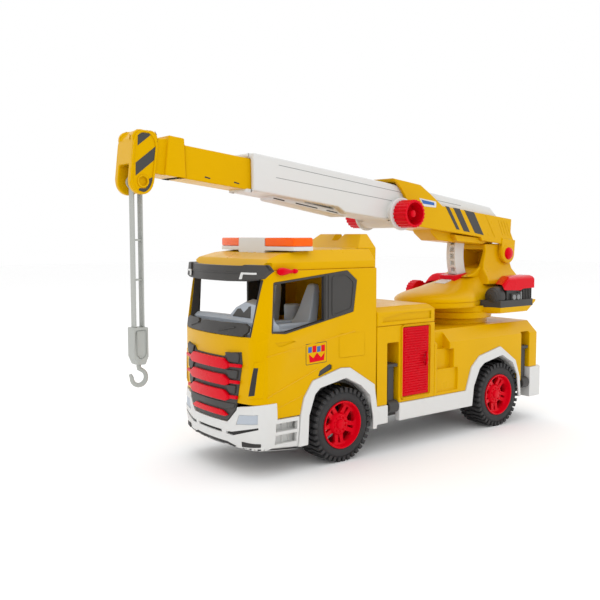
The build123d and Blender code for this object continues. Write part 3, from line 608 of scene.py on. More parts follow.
def grille():
    """A dark frame with pads at its sides, and red bars across it."""
    base = build("grille_plate", fronted(even(FRAME_HALF), -1.0, 1.2), "truck", "dark_plastic", 0.4)
    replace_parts(base, "grille_frame")
    pads = []
    for low, high, inner, outer in PADS:
        pad = [(inner + 5, low), (outer - 1.2, low), (outer, high), (inner, high - 0.5)]
        pads.append(both(fronted(rounded(pad, 1.0, 2), 1.0, 3.0)))
    pads.append(fronted(even([(33, 70.5), (44.5, 73.0), (45.5, 77.5), (34, 77.2)]), 1.0, 2.2))
    build("grille_pads", together(*pads), "truck", "dark_plastic", 0.5)
    slats = []
    for top, half in BARS:
        centre = [(33.5, top - 11.6), (39.5, top - 9.0), (39.5, top - 5.2), (30.5, top)]
        ear = [(37.5, top - 8.6), (half, top - 8.2), (half + 0.5, top - 4.4), (37.5, top - 4.9)]
        slats.append(fronted(even(centre), 1.0, 5.2))
        slats.append(both(fronted(ear, 1.0, 4.2)))
    slats.append(fronted(even([(31.5, 62.2), (36.6, 64.4), (27.5, 68.6)]), 1.0, 3.8))
    bars = build("grille_bars", together(*slats), "truck", "red_plastic", 1.1)
    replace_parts(bars, "grille_slats")


# Openings in the bumper, the middle ones as right halves
SLOT_MIDDLE = [(23.5, 43.6), (23.5, 46.9)]
SLOT_CHIN = [(31, 31.6), (40.5, 30.3), (42, 31.3), (31, 34.7)]
SLOT_SIDE = [(31, 43.3), (40.6, 42.8), (73, 53.2), (73, 55.3), (40.2, 46.9), (31, 46.2)]
GRILLE_HALF = [(33.4, 56.5), (37.4, 59.7), (47.2, 70.5), (48.6, 79), (48.6, 90)]
LAMP = [(46.4, 55.4), (72.6, 58.6), (72.6, 68.8), (51.2, 66.6)]
LAMP_GLASS = [(47.0, 55.9), (72.2, 59.0), (72.2, 68.3), (51.6, 66.2)]
FOG = [(53.4, 32.7), (72.6, 34.3), (72.8, 38.0), (52.9, 38.1)]
# The bumper's wall: distance out, height, rise towards its ends, drop of its rear end
BUMPER = ((-3.6, 29.6, 0.0, 4.4), (-1.0, 34.0, 0.0, 3.0), (0.4, 41.0, 0.0, 0.0), (1.4, 47.0, 1.0, 0.0),
          (1.9, 56.0, 2.0, 0.0), (1.6, 68.0, 3.0, 0.0), (0.9, 73.6, 5.4, 0.0))


def cab_line():
    """Points round the cab's plan, from the front's middle to the step's rear end on one side."""
    points = [(cab_front(y, 0), y) for y in (0, 8, 16, 24, 32, 40, 48, 54, 58, 62, 66, 69, 72, 74, 75.3)]
    return points + [(x, SIDE) for x in (-98, -94, -88, -80, -72, -64)]


def banded(profile, inner):
    """A wall round the cab's front, from its profile to an inner distance."""
    line = cab_line()
    line = [(x, -y) for x, y in reversed(line)] + line[1:]
    rings = []
    for k, (x, y) in enumerate(line):
        back, on = line[max(k - 1, 0)], line[min(k + 1, len(line) - 1)]
        out = Vector((on[1] - back[1], back[0] - on[0])).normalized()
        out = out if out.x < 0 or abs(y) > 70 and out.y * y > 0 else -out
        share = max(0.0, min(1.0, (abs(y) - 46) / 30.0))
        rear = max(0.0, min(1.0, (x + 105) / 41.0))
        wall = [(d, z + share * rise - rear * drop) for d, z, rise, drop in profile]
        wall += [(inner, z) for _, z in reversed([wall[0], wall[-1]])]
        rings.append([(x + out.x * d, y + out.y * d, z) for d, z in wall])
    return lofted(rings)


def slots(inner, outer):
    """The shapes of the bumper's slots between two heights above the front."""
    middle = [fronted(even(half), inner, outer) for half in (SLOT_MIDDLE, SLOT_CHIN)]
    return together(*middle, both(fronted(SLOT_SIDE, inner, outer)))


def bumper():
    holes = together(slots(-8, 6), both(fronted(LAMP, 0.9, 6)), fronted(even(GRILLE_HALF), -8, 8),
                     both(fronted(FOG, 0.0, 6)))
    wells = [block(-94.5, -66.5, 66.5, 90, z0, z1) for z0, z1 in ((48.5, 57.5), (35.0, 45.0))]
    wells.append(block(-92.7, -60, 60, 90, 61.5, 90))
    piece = build("bumper_shell", banded(BUMPER, -3.4), "truck", "white_trim", 0.7,
                  together(holes, both(together(*wells))), clamp=True)
    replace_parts(piece, "front_bumper")
    # Near black plates behind the bumper's slots: painted shade in them.
    build("bumper_slot_shade", slots(-3.0, -1.6), "truck", "dark_plastic", paint=SHADE_AND_TRIM_DARK)
    glass = build("headlamp_glass", both(fronted(LAMP_GLASS, 0.4, 1.3)), "truck", "grey_interior", 0.2)
    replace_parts(glass, "headlamps")
    build("fog_lamps", both(fronted(FOG, -1.0, 0.2)), "truck", "dark_plastic", paint=SHADE_AND_TRIM_DARK)
    stairs()


def stairs():
    """Treads and ribbed wells in the bumper's sides."""
    works = [block(-96.5, -64.5, 64.0, 67.2, 31.5, 60.5), block(-95.5, -65.5, 64.5, 76.8, 57.6, 60.8),
             block(-95.5, -65.5, 64.5, 76.2, 45.2, 48.2)]
    for x in (-88, -80, -72):
        works += [block(x - 0.7, x + 0.7, 66.5, 68.6, z0, z1) for z0, z1 in ((35.5, 44.5), (49.0, 57.0))]
    build("cab_steps", both(together(*works)), "truck", "white_trim", 0.4, clamp=True)


def screen():
    """Near black strips inside the windscreen's pillars, painted shade there, and the wiper tray along its
    foot.
    """
    pillar_shade = [(60.5, 148.6), (64.6, 148.6), (70.2, 206.6), (66.6, 206.6), (62.2, 160.0)]
    tray = [(-54, 148.6), (60, 148.6), (62.5, 151.5), (62.2, 158.5), (57, 161.8), (27, 161.6), (22, 155.0),
            (19.0, 160.6), (8, 161.2), (-57, 161.8), (-62, 158.5), (-61.5, 153.5)]
    # The pillar strips are painted shade; the wiper tray is dark plastic.
    works = [both(fronted(pillar_shade, -12.0, -3.4)), fronted(tray, -2.6, 0.7)]
    piece = build("pillar_shade_and_wiper_tray", together(*works), "truck", "dark_plastic", 0.3)
    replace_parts(piece, "windscreen_trim")
    arms = []
    for y0, y1 in ((46.0, 24.0), (-18.0, -44.0)):
        arms.append(fronted([(y0, 151.5), (y0 + 0.4, 152.8), (y1, 158.4), (y1, 157.0)], 0.6, 1.9))
    build("wipers", together(*arms), "truck", "dark_plastic", 0.2)


VISOR_HALF = [(30, 204.8), (56, 205.4), (66, 206.4), (72.0, 208.2), (75.6, 216.0), (73.4, 222.2), (53, 222.4),
              (48, 221.2), (30, 221.0)]
VISOR_CAP = [(54.0, 206.8), (52.0, 213.5), (55.0, 222.2), (73.4, 222.2), (75.6, 216.0), (71.4, 208.0)]
VISOR_LAMP = [(49.5, 207.6), (52.6, 207.6), (54.0, 212.6), (69.5, 212.6), (69.5, 214.6), (51.5, 214.6)]


def forward(work, distance):
    """A work moved towards the truck's front."""
    bmesh.ops.translate(work, vec=(-distance, 0, 0), verts=work.verts)
    return work


def visor():
    """A bowed plate with thicker ends, a crease along it and an angled lamp on each end."""
    plate = fronted(even(VISOR_HALF), -1.0, 5.0, 2.5)
    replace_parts(build("visor_plate", plate, "truck", "dark_plastic", 0.8, clamp=True), "sun_visor")
    caps = forward(both(fronted(VISOR_CAP, 0.0, 5.4, 2.5)), 1.2)
    build("visor_caps", caps, "truck", "dark_plastic", 1.2, clamp=True)
    crease = forward(fronted([(-50, 213.2), (50, 213.2), (50, 214.4), (-50, 214.4)], 0.0, 4.6), 1.2)
    build("visor_crease", crease, "truck", "dark_plastic", 0.4, clamp=True)
    lamps = forward(both(fronted(VISOR_LAMP, 5.0, 6.6)), 0.9)
    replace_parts(build("visor_glass", lamps, "truck", "white_trim", 0.2), "visor_lamps")


# Cab sides: shapes in (x, z) on both sides

def ridge(points, width, height):
    """A low raised crease along points on both sides of the cab."""
    works = []
    cross = [(0, SIDE - 0.3), (-width * 0.25, SIDE + height), (-width, SIDE - 0.3)]
    for (x0, z0), (x1, z1) in zip(points, points[1:]):
        corners = [(x, y, z + d) for x, z in ((x0, z0), (x1, z1)) for d, y in cross]
        works.append(shape(corners, [(0, 1, 2), (3, 4, 5), (0, 1, 4, 3), (1, 2, 5, 4), (0, 2, 5, 3)]))
    return both(together(*works))


HANDLE = [(-37, 101.5), (-35, 106.8), (-21, 113.1), (-17.2, 111), (-17.6, 107), (-34.5, 100.4)]


def side_frame(x0, x1, z0, z1, width, depth):
    """A thin frame round a rectangle on both sides, from a depth inside the side to just outside it."""
    outer, inner = [rounded([(x0 + d, z0 + d), (x1 - d, z0 + d), (x1 - d, z1 - d), (x0 + d, z1 - d)], radius)
                    for d, radius in ((0.0, 3.0), (width, 2.6))]
    return both(band(outer, inner, SIDE - depth, SIDE + 2))


BADGE = (-54.0, -25.3, 114.6, 137.6)      # front and rear edge, foot and top


def sticker():
    """A plain badge of coloured shapes."""
    x0, x1, z0, z1 = BADGE
    plate = rounded([(x0, z0), (x1, z0 + 1), (x1, z1 + 0.6), (x0, z1 - 0.4)], 1.0, 2)
    build("badge_edge", both(prism(plate, "y", SIDE - 0.2, SIDE + 0.12)), "truck", "dark_plastic", paint=SHADE_AND_TRIM_DARK)
    inner = [(x0 + 0.5, z0 + 0.6), (x1 - 0.5, z0 + 1.6), (x1 - 0.5, z1), (x0 + 0.5, z1 - 1)]
    field = prism(rounded(inner, 0.8, 2), "y", SIDE - 0.2, SIDE + 0.2)
    build("badge_plate", both(field), "truck", "yellow_body")
    works = []
    for k in range(4):
        x, lift = x0 + 3 + 6 * k, k % 2
        tile = [(x, 127.5), (x + 5, 127.9), (x + 5, 134 + lift), (x, 133.6 + lift)]
        works.append(prism(tile, "y", SIDE, SIDE + 0.3))
    build("badge_blue", both(together(*works[::2])), "truck", "white_trim", paint=BLUE)
    peaks = [(x0 + 5, 117), (x1 - 4, 118), (x1 - 3, 126.5), (x1 - 8, 121.5), (x0 + 15, 127), (x0 + 10, 121.5),
             (x0 + 4, 126)]
    crown = prism(peaks, "y", SIDE, SIDE + 0.3)
    build("badge_red", both(together(crown, *works[1::2])), "truck", "red_plastic")


def cab_body():
    dent = [(-94, 142), (-90, 137.8), (-85.7, 137.4), (-67, 141.2), (-70, 142.2)]
    cuts = together(both(prism(HANDLE, "y", SIDE - 2.2, SIDE + 3)),
                    both(prism(dent, "y", SIDE - 0.9, SIDE + 3)),
                    side_frame(-8, 31, 117.5, 145.0, 0.7, 0.6))
    moulded("cab_shell", 1.0, cuts)
    # A dark cup sunk in each handle's hollow: painted shade inside it.
    cup = prism(rounded(HANDLE, 1.5, 3), "y", SIDE - 2.4, SIDE - 1.2)
    build("handle_hollow_shade", both(cup), "truck", "dark_plastic", 0.3)
    lines = together(ridge([(-104, 129.2), (-54, 136.6), (-20, 141.9), (16, 147.5)], 2.2, 0.45),
                     ridge([(-104, 87.0), (-98, 89.4), (-38, 110.6)], 2.6, 0.6),
                     ridge([(-92.7, 73.7), (-58, 84.0)], 2.4, 0.5))
    build("door_creases", lines, "truck", "yellow_body")
    pad = [(61.5, 84.5), (74.6, 86.0), (75.4, 124.2), (69.2, 122.6)]
    build("corner_pads", both(fronted(pad, -0.8, 1.0, 2.0)), "truck", "yellow_body", 0.6)
    # Near black slits in the corner pads: painted shade in them.
    slit = [(63.6, 87.4), (69.4, 88.6), (72.2, 117.3), (69.0, 117.2)]
    build("corner_slit_shade", both(fronted(slit, 0.6, 1.25, 2.0)), "truck", "dark_plastic", paint=SHADE_AND_TRIM_DARK)
    sticker()


HORN_Z = 215.4
# Radius and place along the truck, from the horn's mouth to its rear end
HORN_LINE = [(0, -93), (2.6, -92.4), (3.9, -90), (4.2, -87), (3.5, -82.5), (2.3, -78), (1.6, -74.5),
             (1.6, -73), (2.5, -72.4), (2.7, -70.6), (2.2, -68.4), (1.2, -67.2), (0, -67)]


def horns():
    foot = block(-88, -73, SIDE - 3, SIDE + 2, HORN_Z - 2.2, HORN_Z + 0.4)
    work = together(lathe(HORN_LINE, (0, SIDE + 3.0, HORN_Z), "x", 24), foot)
    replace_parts(build("horns", both(work), "truck", "red_plastic"), "roof_horns")


def beacons():
    moulded("light_bar_base", 0.6)
    moulded("beacon_lenses", 1.6)


PANEL_Y = (74.9, 75.9)                    # ribs and rim stand on the panel between these
# A near black frame inside each door, round the window: painted shade in the cab.
SHADE_FRAME = [(-106, 153), (-99, 205), (-28, 209), (-28, 161.3), (-80, 151.4)]
SHADE_FRAME_HOLE = [(-97, 153.6), (-94.0, 202), (-28.6, 207.9), (-28.6, 162.3), (-80.4, 152.3)]


def side_windows():
    """Dark window frames with a ribbed, rimmed panel behind the opening, and near black sheets inside the cab
    that paint its shade.
    """
    moulded("side_window_trims", 0.4)
    panel = rounded([(-17.5, 164.5), (-17.5, 208.0), (2.5, 210.5), (14.5, 201.5), (10.5, 171.0)], 4.0, 4)
    rim_work = both(band(panel, shrunk(panel, 1.3), *PANEL_Y))
    build("panel_rims", rim_work, "truck", "dark_plastic", 0.25, clamp=True)
    bars = [prism([(x, 162.5), (x + 1.6, 162.9), (x + 1.6, 209.6), (x, 209.3)], "y", *PANEL_Y)
            for x in (-27.0, -22.6)]
    build("panel_ribs", both(together(*bars)), "truck", "dark_plastic", 0.25, clamp=True)
    # Near black sheets inside the cab's sides: painted shade.
    rear_inside_shade = both(prism([(-28.4, 152), (28, 152), (28, 208), (-28.4, 208)], "y", 70.8, 72.6))
    inside_shade = together(both(band(SHADE_FRAME, SHADE_FRAME_HOLE, 71.6, 72.9)), rear_inside_shade)
    build("cab_inside_shade", inside_shade, "truck", "dark_plastic", paint=SHADE_AND_TRIM_DARK)


# A seat's back: height, front, rear, half width
BACK = ((143, -38, -22, 18), (152, -36, -18, 17), (160, -29, -15, 14), (170, -25, -12, 11.5),
        (182, -21, -9.5, 9.5), (190, -18.5, -8, 8), (196, -16.5, -8, 6.5), (199, -14.5, -9, 4.5))


def seat(y):
    """A cushion on its base, with side bolsters and a waisted back."""
    back = lofted([[(x0, y - half, z), (x1, y - half * 0.9, z), (x1, y + half * 0.9, z), (x0, y + half, z)]
                   for z, x0, x1, half in BACK])
    cushion = block(-76, -22, y - 20, y + 20, 132, 153)
    base = block(-60, -24, y - 17, y + 17, 124, 132)
    sides = [block(-74, -30, y + d - 3, y + d + 3, 144, 158) for d in (-16, 16)]
    return together(back, cushion, base, *sides)


DASH = ((-107.5, 150), (-109.0, 161.5), (-104, 165.2), (-88, 163.5), (-81, 157), (-81, 147))
DASH_LIFTS = ((-66, 0), (-40, 1), (0, 1), (66, 0))
HUMP_RISES = ((-62, 9), (-54, 17), (-34, 19), (-16, 12), (-4, 3))
DRUM = [(0, 150), (10.0, 150), (10.5, 152), (10.5, 171), (9.6, 172.6), (8.2, 172.6), (8.0, 170), (0, 170)]


def dashboard():
    """A shelf with the driver's hump and its dark display, and a drum between the seats."""
    shelf = lofted([[(x, y, z + lift) for x, z in DASH] for y, lift in DASH_LIFTS])
    hump = lofted([[(-106, y, 163), (-103.0, y, 163 + rise), (-92, y, 166 + rise), (-85, y, 160 + rise * 0.6),
                    (-83, y, 158)] for y, rise in HUMP_RISES])
    drum = lathe(DRUM, (-12, 2, 0), "z", 32)
    build("dashboard", together(shelf, hump, drum), "truck", "grey_interior", 1.2, clamp=True)
    display = lofted([[(-106.2, -48, 166), (-106.2, -14, 166), (-103.6, -20, 174.0), (-103.6, -46, 178.5)],
                      [(-104.6, -48, 165.4), (-104.6, -14, 165.4),
                       (-101.8, -20, 174.6), (-101.8, -46, 179.0)]])
    build("dash_inset", display, "truck", "dark_plastic", 0.4, clamp=True)


def interior():
    moulded("cab_interior", 1.2)
    pair = build("seat_pair", together(seat(-36), seat(36)), "truck", "grey_interior", 2.2, clamp=True)
    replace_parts(pair, "seats")
    dashboard()


def cab():
    cab_body()
    moulded("cab_roof", 1.0)
    grille()
    bumper()
    screen()
    visor()
    horns()
    beacons()
    interior()
    side_windows()


# Body behind the cab

LOCKER = (89.8, 134.4, 62.6, 144.4)       # front and rear edge, foot and top of a door
SLATS, SLAT_PITCH = 26, 3.0


def on_side(work, side):
    """A right side's work as it stands, or mirrored for the left."""
    return mirrored(work) if side == "left" else work


def locker_door():
    """A ribbed door on the right side."""
    x0, x1, z0, z1 = LOCKER
    works = [block(x0, x1, 73.6, 76.0, z0, z1)]
    for k in range(SLATS):
        z = z0 + 2.4 + SLAT_PITCH * k
        slat = [(75.8, z), (77.4, z + 0.5), (77.4, z + 1.3), (75.8, z + 2.1)]
        works.append(prism(slat, "x", x0 + 2.6, x1 - 2.8))
    return together(*works)


def lockers():
    """The box between the cab and the deck: its lid with a sunk panel, and its two doors."""
    panel = prism([(58, 152.8), (138, 152.8), (138, 162.0), (92, 162.0), (60, 157.6)],
                  "y", SIDE - 1.8, SIDE + 2)
    moulded("locker_lid", 1.6, both(panel))
    moulded("locker_box", 1.0)
    grip_path = [(131.5, 76.2, 97.5), (127.4, 80.2, 99.5), (126.6, 81.0, 104.5), (127.4, 80.2, 109.5),
                 (131.5, 76.2, 111.5)]
    for side in ("left", "right"):
        body = BODY_OF[f"locker_door_{side}"]
        piece = build(f"locker_{side}_slats", on_side(locker_door(), side), body, "red_plastic", 0.25)
        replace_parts(piece, f"locker_door_{side}")
        grip = tube(grip_path, [1.5, 1.7, 1.7, 1.7, 1.5], 12)
        build(f"locker_{side}_grip", on_side(grip, side), body, "red_plastic")
    build("locker_beads", side_frame(87.6, 136.4, 60.6, 146.4, 0.7, 0.5), "truck", "yellow_body")


def legs():
    for end in ("front", "rear"):
        for side in ("left", "right"):
            moulded(f"{end}_leg_{side}", 0.9)


def body_shells():
    moulded("upper_body", 1.0)
    moulded("lower_body", 0.9)
    moulded("wheel_liners", 0.5)
    lockers()
    legs()


# Turntable

NOSE_REACH, NOSE_HALF, NOSE_END = 97.0, 54.5, 236.0
WAIST_HALF, WAIST_START, WAIST_RUN = 43.6, 243.0, 24.0
# The hull's ridge: place along the truck, height
RIDGE = ((168, 166.0), (171, 171.5), (176, 175.2), (184, 177.8), (198, 180.2), (222, 184.2), (238, 188.2),
         (252, 192.4), (268, 197.4), (285, 202.4), (300, 206.0), (354, 211.0))
# Its cross section over the seam: share of the half width, share of the height
DOME = ((1.0, 0.0), (0.985, 0.10), (0.95, 0.24), (0.88, 0.40), (0.78, 0.56), (0.66, 0.70), (0.52, 0.82),
        (0.36, 0.92), (0.18, 0.98), (0.0, 1.0))
STATIONS = (168.2, 169.2, 171, 174, 178, 183, 190, 198, 208, 220, 232, 243, 250, 258, 267, 275, 285, 300, 320,
            340, 354)


def ridge_top(x):
    for (x0, z0), (x1, z1) in zip(RIDGE, RIDGE[1:]):
        if x <= x1:
            return z0 + (z1 - z0) * (x - x0) / (x1 - x0)
    return RIDGE[-1][1]


def hull_half(x):
    """Half the hull's width: a rounded nose, straight sides, then narrowing beside the engines."""
    if x < NOSE_END:
        share = min(1.0, (NOSE_END - x) / (NOSE_END - TURN_X + NOSE_REACH))
        return max(2.0, NOSE_HALF * (1 - share ** 2.0) ** 0.52)
    return NOSE_HALF - (NOSE_HALF - WAIST_HALF) * max(0.0, min(1.0, (x - WAIST_START) / WAIST_RUN))


def hull():
    """The rounded hull, higher towards the tower, with a seam round its foot."""
    rings = []
    for x in STATIONS:
        half, top = hull_half(x), ridge_top(x)
        edge = 167.5 if x > 180 else 166.0
        side = [(half - 1.8, 158.2), (half - 0.4, 160.0), (half - 0.4, 164.6), (half - 1.1, 165.0),
                (half - 1.1, 165.6), (half, 166.0)]
        side += [(half * w, edge + (top - edge) * h) for w, h in DOME]
        side = [(max(y, 0.2) if k < len(side) - 1 else 0.0, min(z, top)) for k, (y, z) in enumerate(side)]
        rings.append([(x, -y, z) for y, z in side] + [(x, y, z) for y, z in reversed(side[:-1])])
    return lofted(rings)


TOWER_HALF, TOWER_REAR = 23.5, 353.2
TOWER = [(262, 196), (280, 202), (292, 209.5), (299, 218), (301.5, 228), (300.0, 239.5), (303, 240.6),
         (333, 240.6), (342, 239.2), (349, 236.6), (352.4, 230), (TOWER_REAR, 222), (TOWER_REAR, 190)]
# The tower's flare into the hull: half width, height
SHOULDER = [(44.0, 186), (42.5, 192), (36, 199), (29, 206), (25.5, 215), (24.0, 226), (23.6, 232)]
# The hollow in its front: place along the truck, half width, foot, top
POCKET = ((270, 20.5, 206, 234), (300, 19.5, 207, 233), (334, 15.0, 213, 228))
COLUMN_ROOM = 8.3                         # half width of the room for the lifting column and its pinion
PINION_ROOM = 16.6


def tower():
    """Upright that carries the boom, flaring out into the hull, with a rib up into the boom's base."""
    rings = []
    for y, z in SHOULDER:
        front = 283 + (z - SHOULDER[0][1]) * 0.42
        rings.append([(front, -y, z), (TOWER_REAR, -y, z), (TOWER_REAR, y, z), (front, y, z)])
    rib = block(306, 330, -13.5, 13.5, 236, 243.6)
    return together(prism(TOWER, "y", -TOWER_HALF, TOWER_HALF), rib, lofted(rings))


def engine_shelf():
    """Yellow ledge under the engine, its foot sloping up to a point at the rear."""
    rings = []
    for y, front, low, rear, tip in ((40, 268.0, 148.5, 334.0, 351.0), (60, 271.5, 148.5, 334.0, 351.0),
                                     (71.5, 275.3, 149.5, 333.0, 350.5)):
        line = ((front + 1.5, low), (rear, low), (tip, 162.0), (tip + 1.0, 165.0),
                (front, 157.0), (front, 151.0))
        rings.append([(x, y, z) for x, z in line])
    return lofted(rings)


def arc(x, z, radius, degrees):
    """Side points round a centre."""
    return [(x + radius * math.cos(math.radians(a)), z + radius * math.sin(math.radians(a))) for a in degrees]


def column_room():
    """The room that the lifting column swings through, round the boom's pivot."""
    outline = (arc(PIVOT_X, PIVOT_Z, -86.6, range(-30, 81, 5))
               + arc(PIVOT_X, PIVOT_Z, -66.0, range(80, -31, -5)))
    return prism(outline, "y", -COLUMN_ROOM, COLUMN_ROOM)


def pinion_room(x, z):
    outline = [(0, -COLUMN_ROOM), (PINION_ROOM, -COLUMN_ROOM), (PINION_ROOM, COLUMN_ROOM), (0, COLUMN_ROOM)]
    return lathe(outline, (x, 0, z), "y", 40)


def node_middle(node):
    """Middle of a CAD node in the side view."""
    low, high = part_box(node)
    return ((low.x + high.x) / 2 - AXLE_X) / MM, (low.z + high.z) / 2 / MM


def turntable():
    body = BODY_OF["superstructure"]
    knob_x, knob_z = node_middle("lift_knob")
    piece = build("hull", hull(), body, "yellow_body",
                  cuts=together(column_room(), pinion_room(knob_x, knob_z)))
    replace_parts(piece, "superstructure")
    flange = lathe([(0, 141.9), (44, 141.9), (50.4, 142.4), (50.8, 144), (50.8, 150), (48.6, 151),
                    (48.6, 158.6), (0, 158.6)], (TURN_X, 0, 0), "z", 64)
    spigot = lathe([(0, 126.2), (20, 126.2), (20, 142.5), (0, 142.5)], (TURN_X, 0, 0), "z", 48)
    build("hull_foot", together(flange, spigot), body, "yellow_body", cuts=pinion_room(knob_x, knob_z))
    pocket = lofted([[(x, -half, z0), (x, half, z0), (x, half, z1), (x, -half, z1)]
                     for x, half, z0, z1 in POCKET])
    build("tower", tower(), body, "yellow_body", 1.6, together(column_room(), pocket), clamp=True)
    build("engine_shelves", both(engine_shelf()), body, "yellow_body", 0.8, clamp=True)
    collar()
    moulded("lift_column", 0.3)
    knurled("lift_grip", "lift_knob", (knob_x, 0, knob_z), 16.0, 61.0, 74.0)
    engines()


COLLAR = [(250, -14), (279, -14), (279, -8.6), (259, -8.6), (259, 8.6), (279, 8.6), (279, 14), (250, 14)]


def collar():
    """Red frame round the lifting column's foot, on the hull's slope, and a white mark in front of it."""
    work = prism(COLLAR, "z", 0, 1)
    for corner in work.verts:
        back = corner.co.x - COLLAR[0][0]
        corner.co.z = 197.8 + back * 0.12 if corner.co.z > 0.5 else 188 + back * 0.2
    piece = build("collar_frame", work, BODY_OF["column_collar"], "red_plastic", 0.8, clamp=True)
    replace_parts(piece, "column_collar")
    mark = [(235.0, 184.0), (249.0, 188.0), (249.0, 192.4), (235.0, 188.3)]
    build("hull_mark", prism(mark, "y", -9, 9), BODY_OF["superstructure"], "white_trim", 0.2, clamp=True)


TRAY = [(267.5, 44), (275.3, 71.8), (344, 71.8), (350, 66), (350, 44)]
TRAY_ROOM = [(271.0, 46.5), (277.5, 69.4), (343, 69.4), (347.6, 64.8), (347.6, 46.5)]
FAN_Y, FAN_Z = 57.5, 170.6
FAN_PLACES = (("left", -6.0), ("right", 3.0))          # the right fan leaves room for the lift knob
FAN_DOME = [(0, 276.5), (6.0, 277.2), (10.4, 279.6), (12.8, 283.4), (13.2, 287.0), (13.2, 292.0), (0, 292.0)]
FAN_HOOPS = ((4.0, 276.5), (6.8, 277.6), (9.4, 279.0), (11.6, 281.6))
# The hood over an engine: distance from the middle, lift of its top, height of its skirt
HOOD = ((43.5, 0.0, 184), (47.0, 1.0, 184), (64.0, 1.0, 184), (68.5, -0.6, 178.5), (71.0, -3.0, 177.8))
HOOD_REAR = 348.5


def trays(body):
    floor_and_lip = [prism(TRAY, "z", 156.6, 164.0),
                     lofted([[(x, y, z) for x, y in TRAY] for z in (163.5, 166.0)])]
    piece = build("trays", both(together(*floor_and_lip)), body, "dark_plastic", 0.7,
                  both(prism(TRAY_ROOM, "z", 164.2, 170)), clamp=True)
    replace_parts(piece, "engine_trays")


def fans(body):
    """Domed cowls with hoops, whose fans face the cab."""
    domes, hoops = [], []
    for side, shift in FAN_PLACES:
        centre = (shift, FAN_Y, FAN_Z)
        domes.append(on_side(lathe(FAN_DOME, centre, "x", 40), side))
        for r, x in FAN_HOOPS:
            hoop = [(r - 0.55, x + 0.6), (r - 0.45, x - 0.5), (r + 0.45, x - 0.3), (r + 0.55, x + 1.0)]
            hoops.append(on_side(lathe(hoop, centre, "x", 40), side))
    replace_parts(build("fan_domes", together(*domes), body, "dark_plastic"), "fan_cowls")
    build("fan_grills", together(*hoops), body, "dark_plastic")


def engine_bodies(body):
    """Dark engines, ribbed at the side and the rear, with two grey caps and a strap."""
    works = [block(293, 345.5, 47, 67.5, 163.5, 184.0), block(300, 318, 66.5, 70.4, 164, 174.5)]
    for x in [321.5 + 3.5 * k for k in range(7)]:
        works.append(block(x, x + 1.7, 66.5, 69.6, 164.0, 185.5))
    for y in [49.0 + 4.0 * k for k in range(5)]:
        works.append(block(344.5, 348.0, y, y + 1.8, 164.0, 185.5))
    piece = build("engine_bodies", both(together(*works)), body, "dark_plastic", 0.4, clamp=True)
    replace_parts(piece, "engine_blocks")
    cap = [(0, 69.0), (3.4, 69.0), (3.4, 71.4), (2.4, 72.0), (0, 72.0)]
    caps = [lathe(cap, (x, 0, 169.5), "y", 20) for x in (304.5, 313.5)]
    caps.append(block(318.6, 320.6, 66.5, 71.0, 164.0, 176.5))
    build("engine_caps", both(together(*caps)), body, "dark_plastic", paint=GREY_CAPS_AND_GROOVE_SHADE)


def hoods(body):
    """Red hoods, shorter towards the middle, whose skirts hang lower outside."""
    rings = []
    for y, lift, low in HOOD:
        front = 298.5 - (y - HOOD[0][0]) * 0.62
        top = ((front, 185.2), (front + 8.5, 193.4), (front + 13.0, 196.0), (347.5, 196.8),
               (HOOD_REAR, 195.4))
        skirt = ((HOOD_REAR, low + 2.6), (325.0, low + 2.4), (318.0, low), (front + 3.0, low + 1.6))
        rings.append([(x, y, z + lift) for x, z in top] + [(x, y, z) for x, z in skirt])
    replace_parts(build("hoods", both(lofted(rings)), body, "red_plastic", 0.9, clamp=True), "engine_hoods")


def engines():
    """On each side a fan in its cowl, a ribbed engine and a red hood, all standing in a dark tray."""
    body = BODY_OF["engine_trays"]
    trays(body)
    fans(body)
    engine_bodies(body)
    hoods(body)


# Boom: distances s along it from the pivot and t above its axis

RISE = (math.cos(BOOM_RISE), math.sin(BOOM_RISE))


def boom_point(s, t):
    """A place on the boom, in the middle plane."""
    return PIVOT_X - s * RISE[0] + t * RISE[1], 0, PIVOT_Z + s * RISE[1] + t * RISE[0]


def boomed(work):
    """A work laid out with -s as x and t as z, turned onto the boom."""
    for corner in work.verts:
        corner.co.x, _, corner.co.z = boom_point(-corner.co.x, corner.co.z)
    return work


def along(outline, y0, y1):
    """A flat (s, t) outline pushed across the boom."""
    return boomed(prism([(-s, t) for s, t in outline], "y", y0, y1))


STRIPES = ([(135.4, 48.7), (128.2, 48.5), (103.6, 21.4), (110, 21.3)],
           [(120.1, 48.4), (107.3, 48.8), (83, 20.6), (95.1, 20.5)],
           [(98, 48.2), (78.2, 47.7), (54, 19.7), (72.5, 20.6)])
HEAD_STRIPES = ([(567.4, 61.6), (563, 64.3), (552.8, 64.8), (566.9, 51)],
                [(547, 54.1), (546.4, 41.5), (566.2, 21.8), (567.4, 34.1)],
                [(551.7, 20.8), (547.3, 23.3), (546.9, 14), (554.6, 6.7), (561.9, 8), (561.1, 10), (554, 11)])
WEDGE = [(107.3, 14.8), (100.5, 6.4), (48.0, 8.2), (38.0, 12.4), (38.0, 16.4)]
PLATE = [(185, 52.3), (153.3, 51.9), (152.4, 44.3), (174.6, 43.2)]
PLATE_MARK = [(181, 50.8), (157, 50.2), (156.2, 46.6), (177, 46.2)]


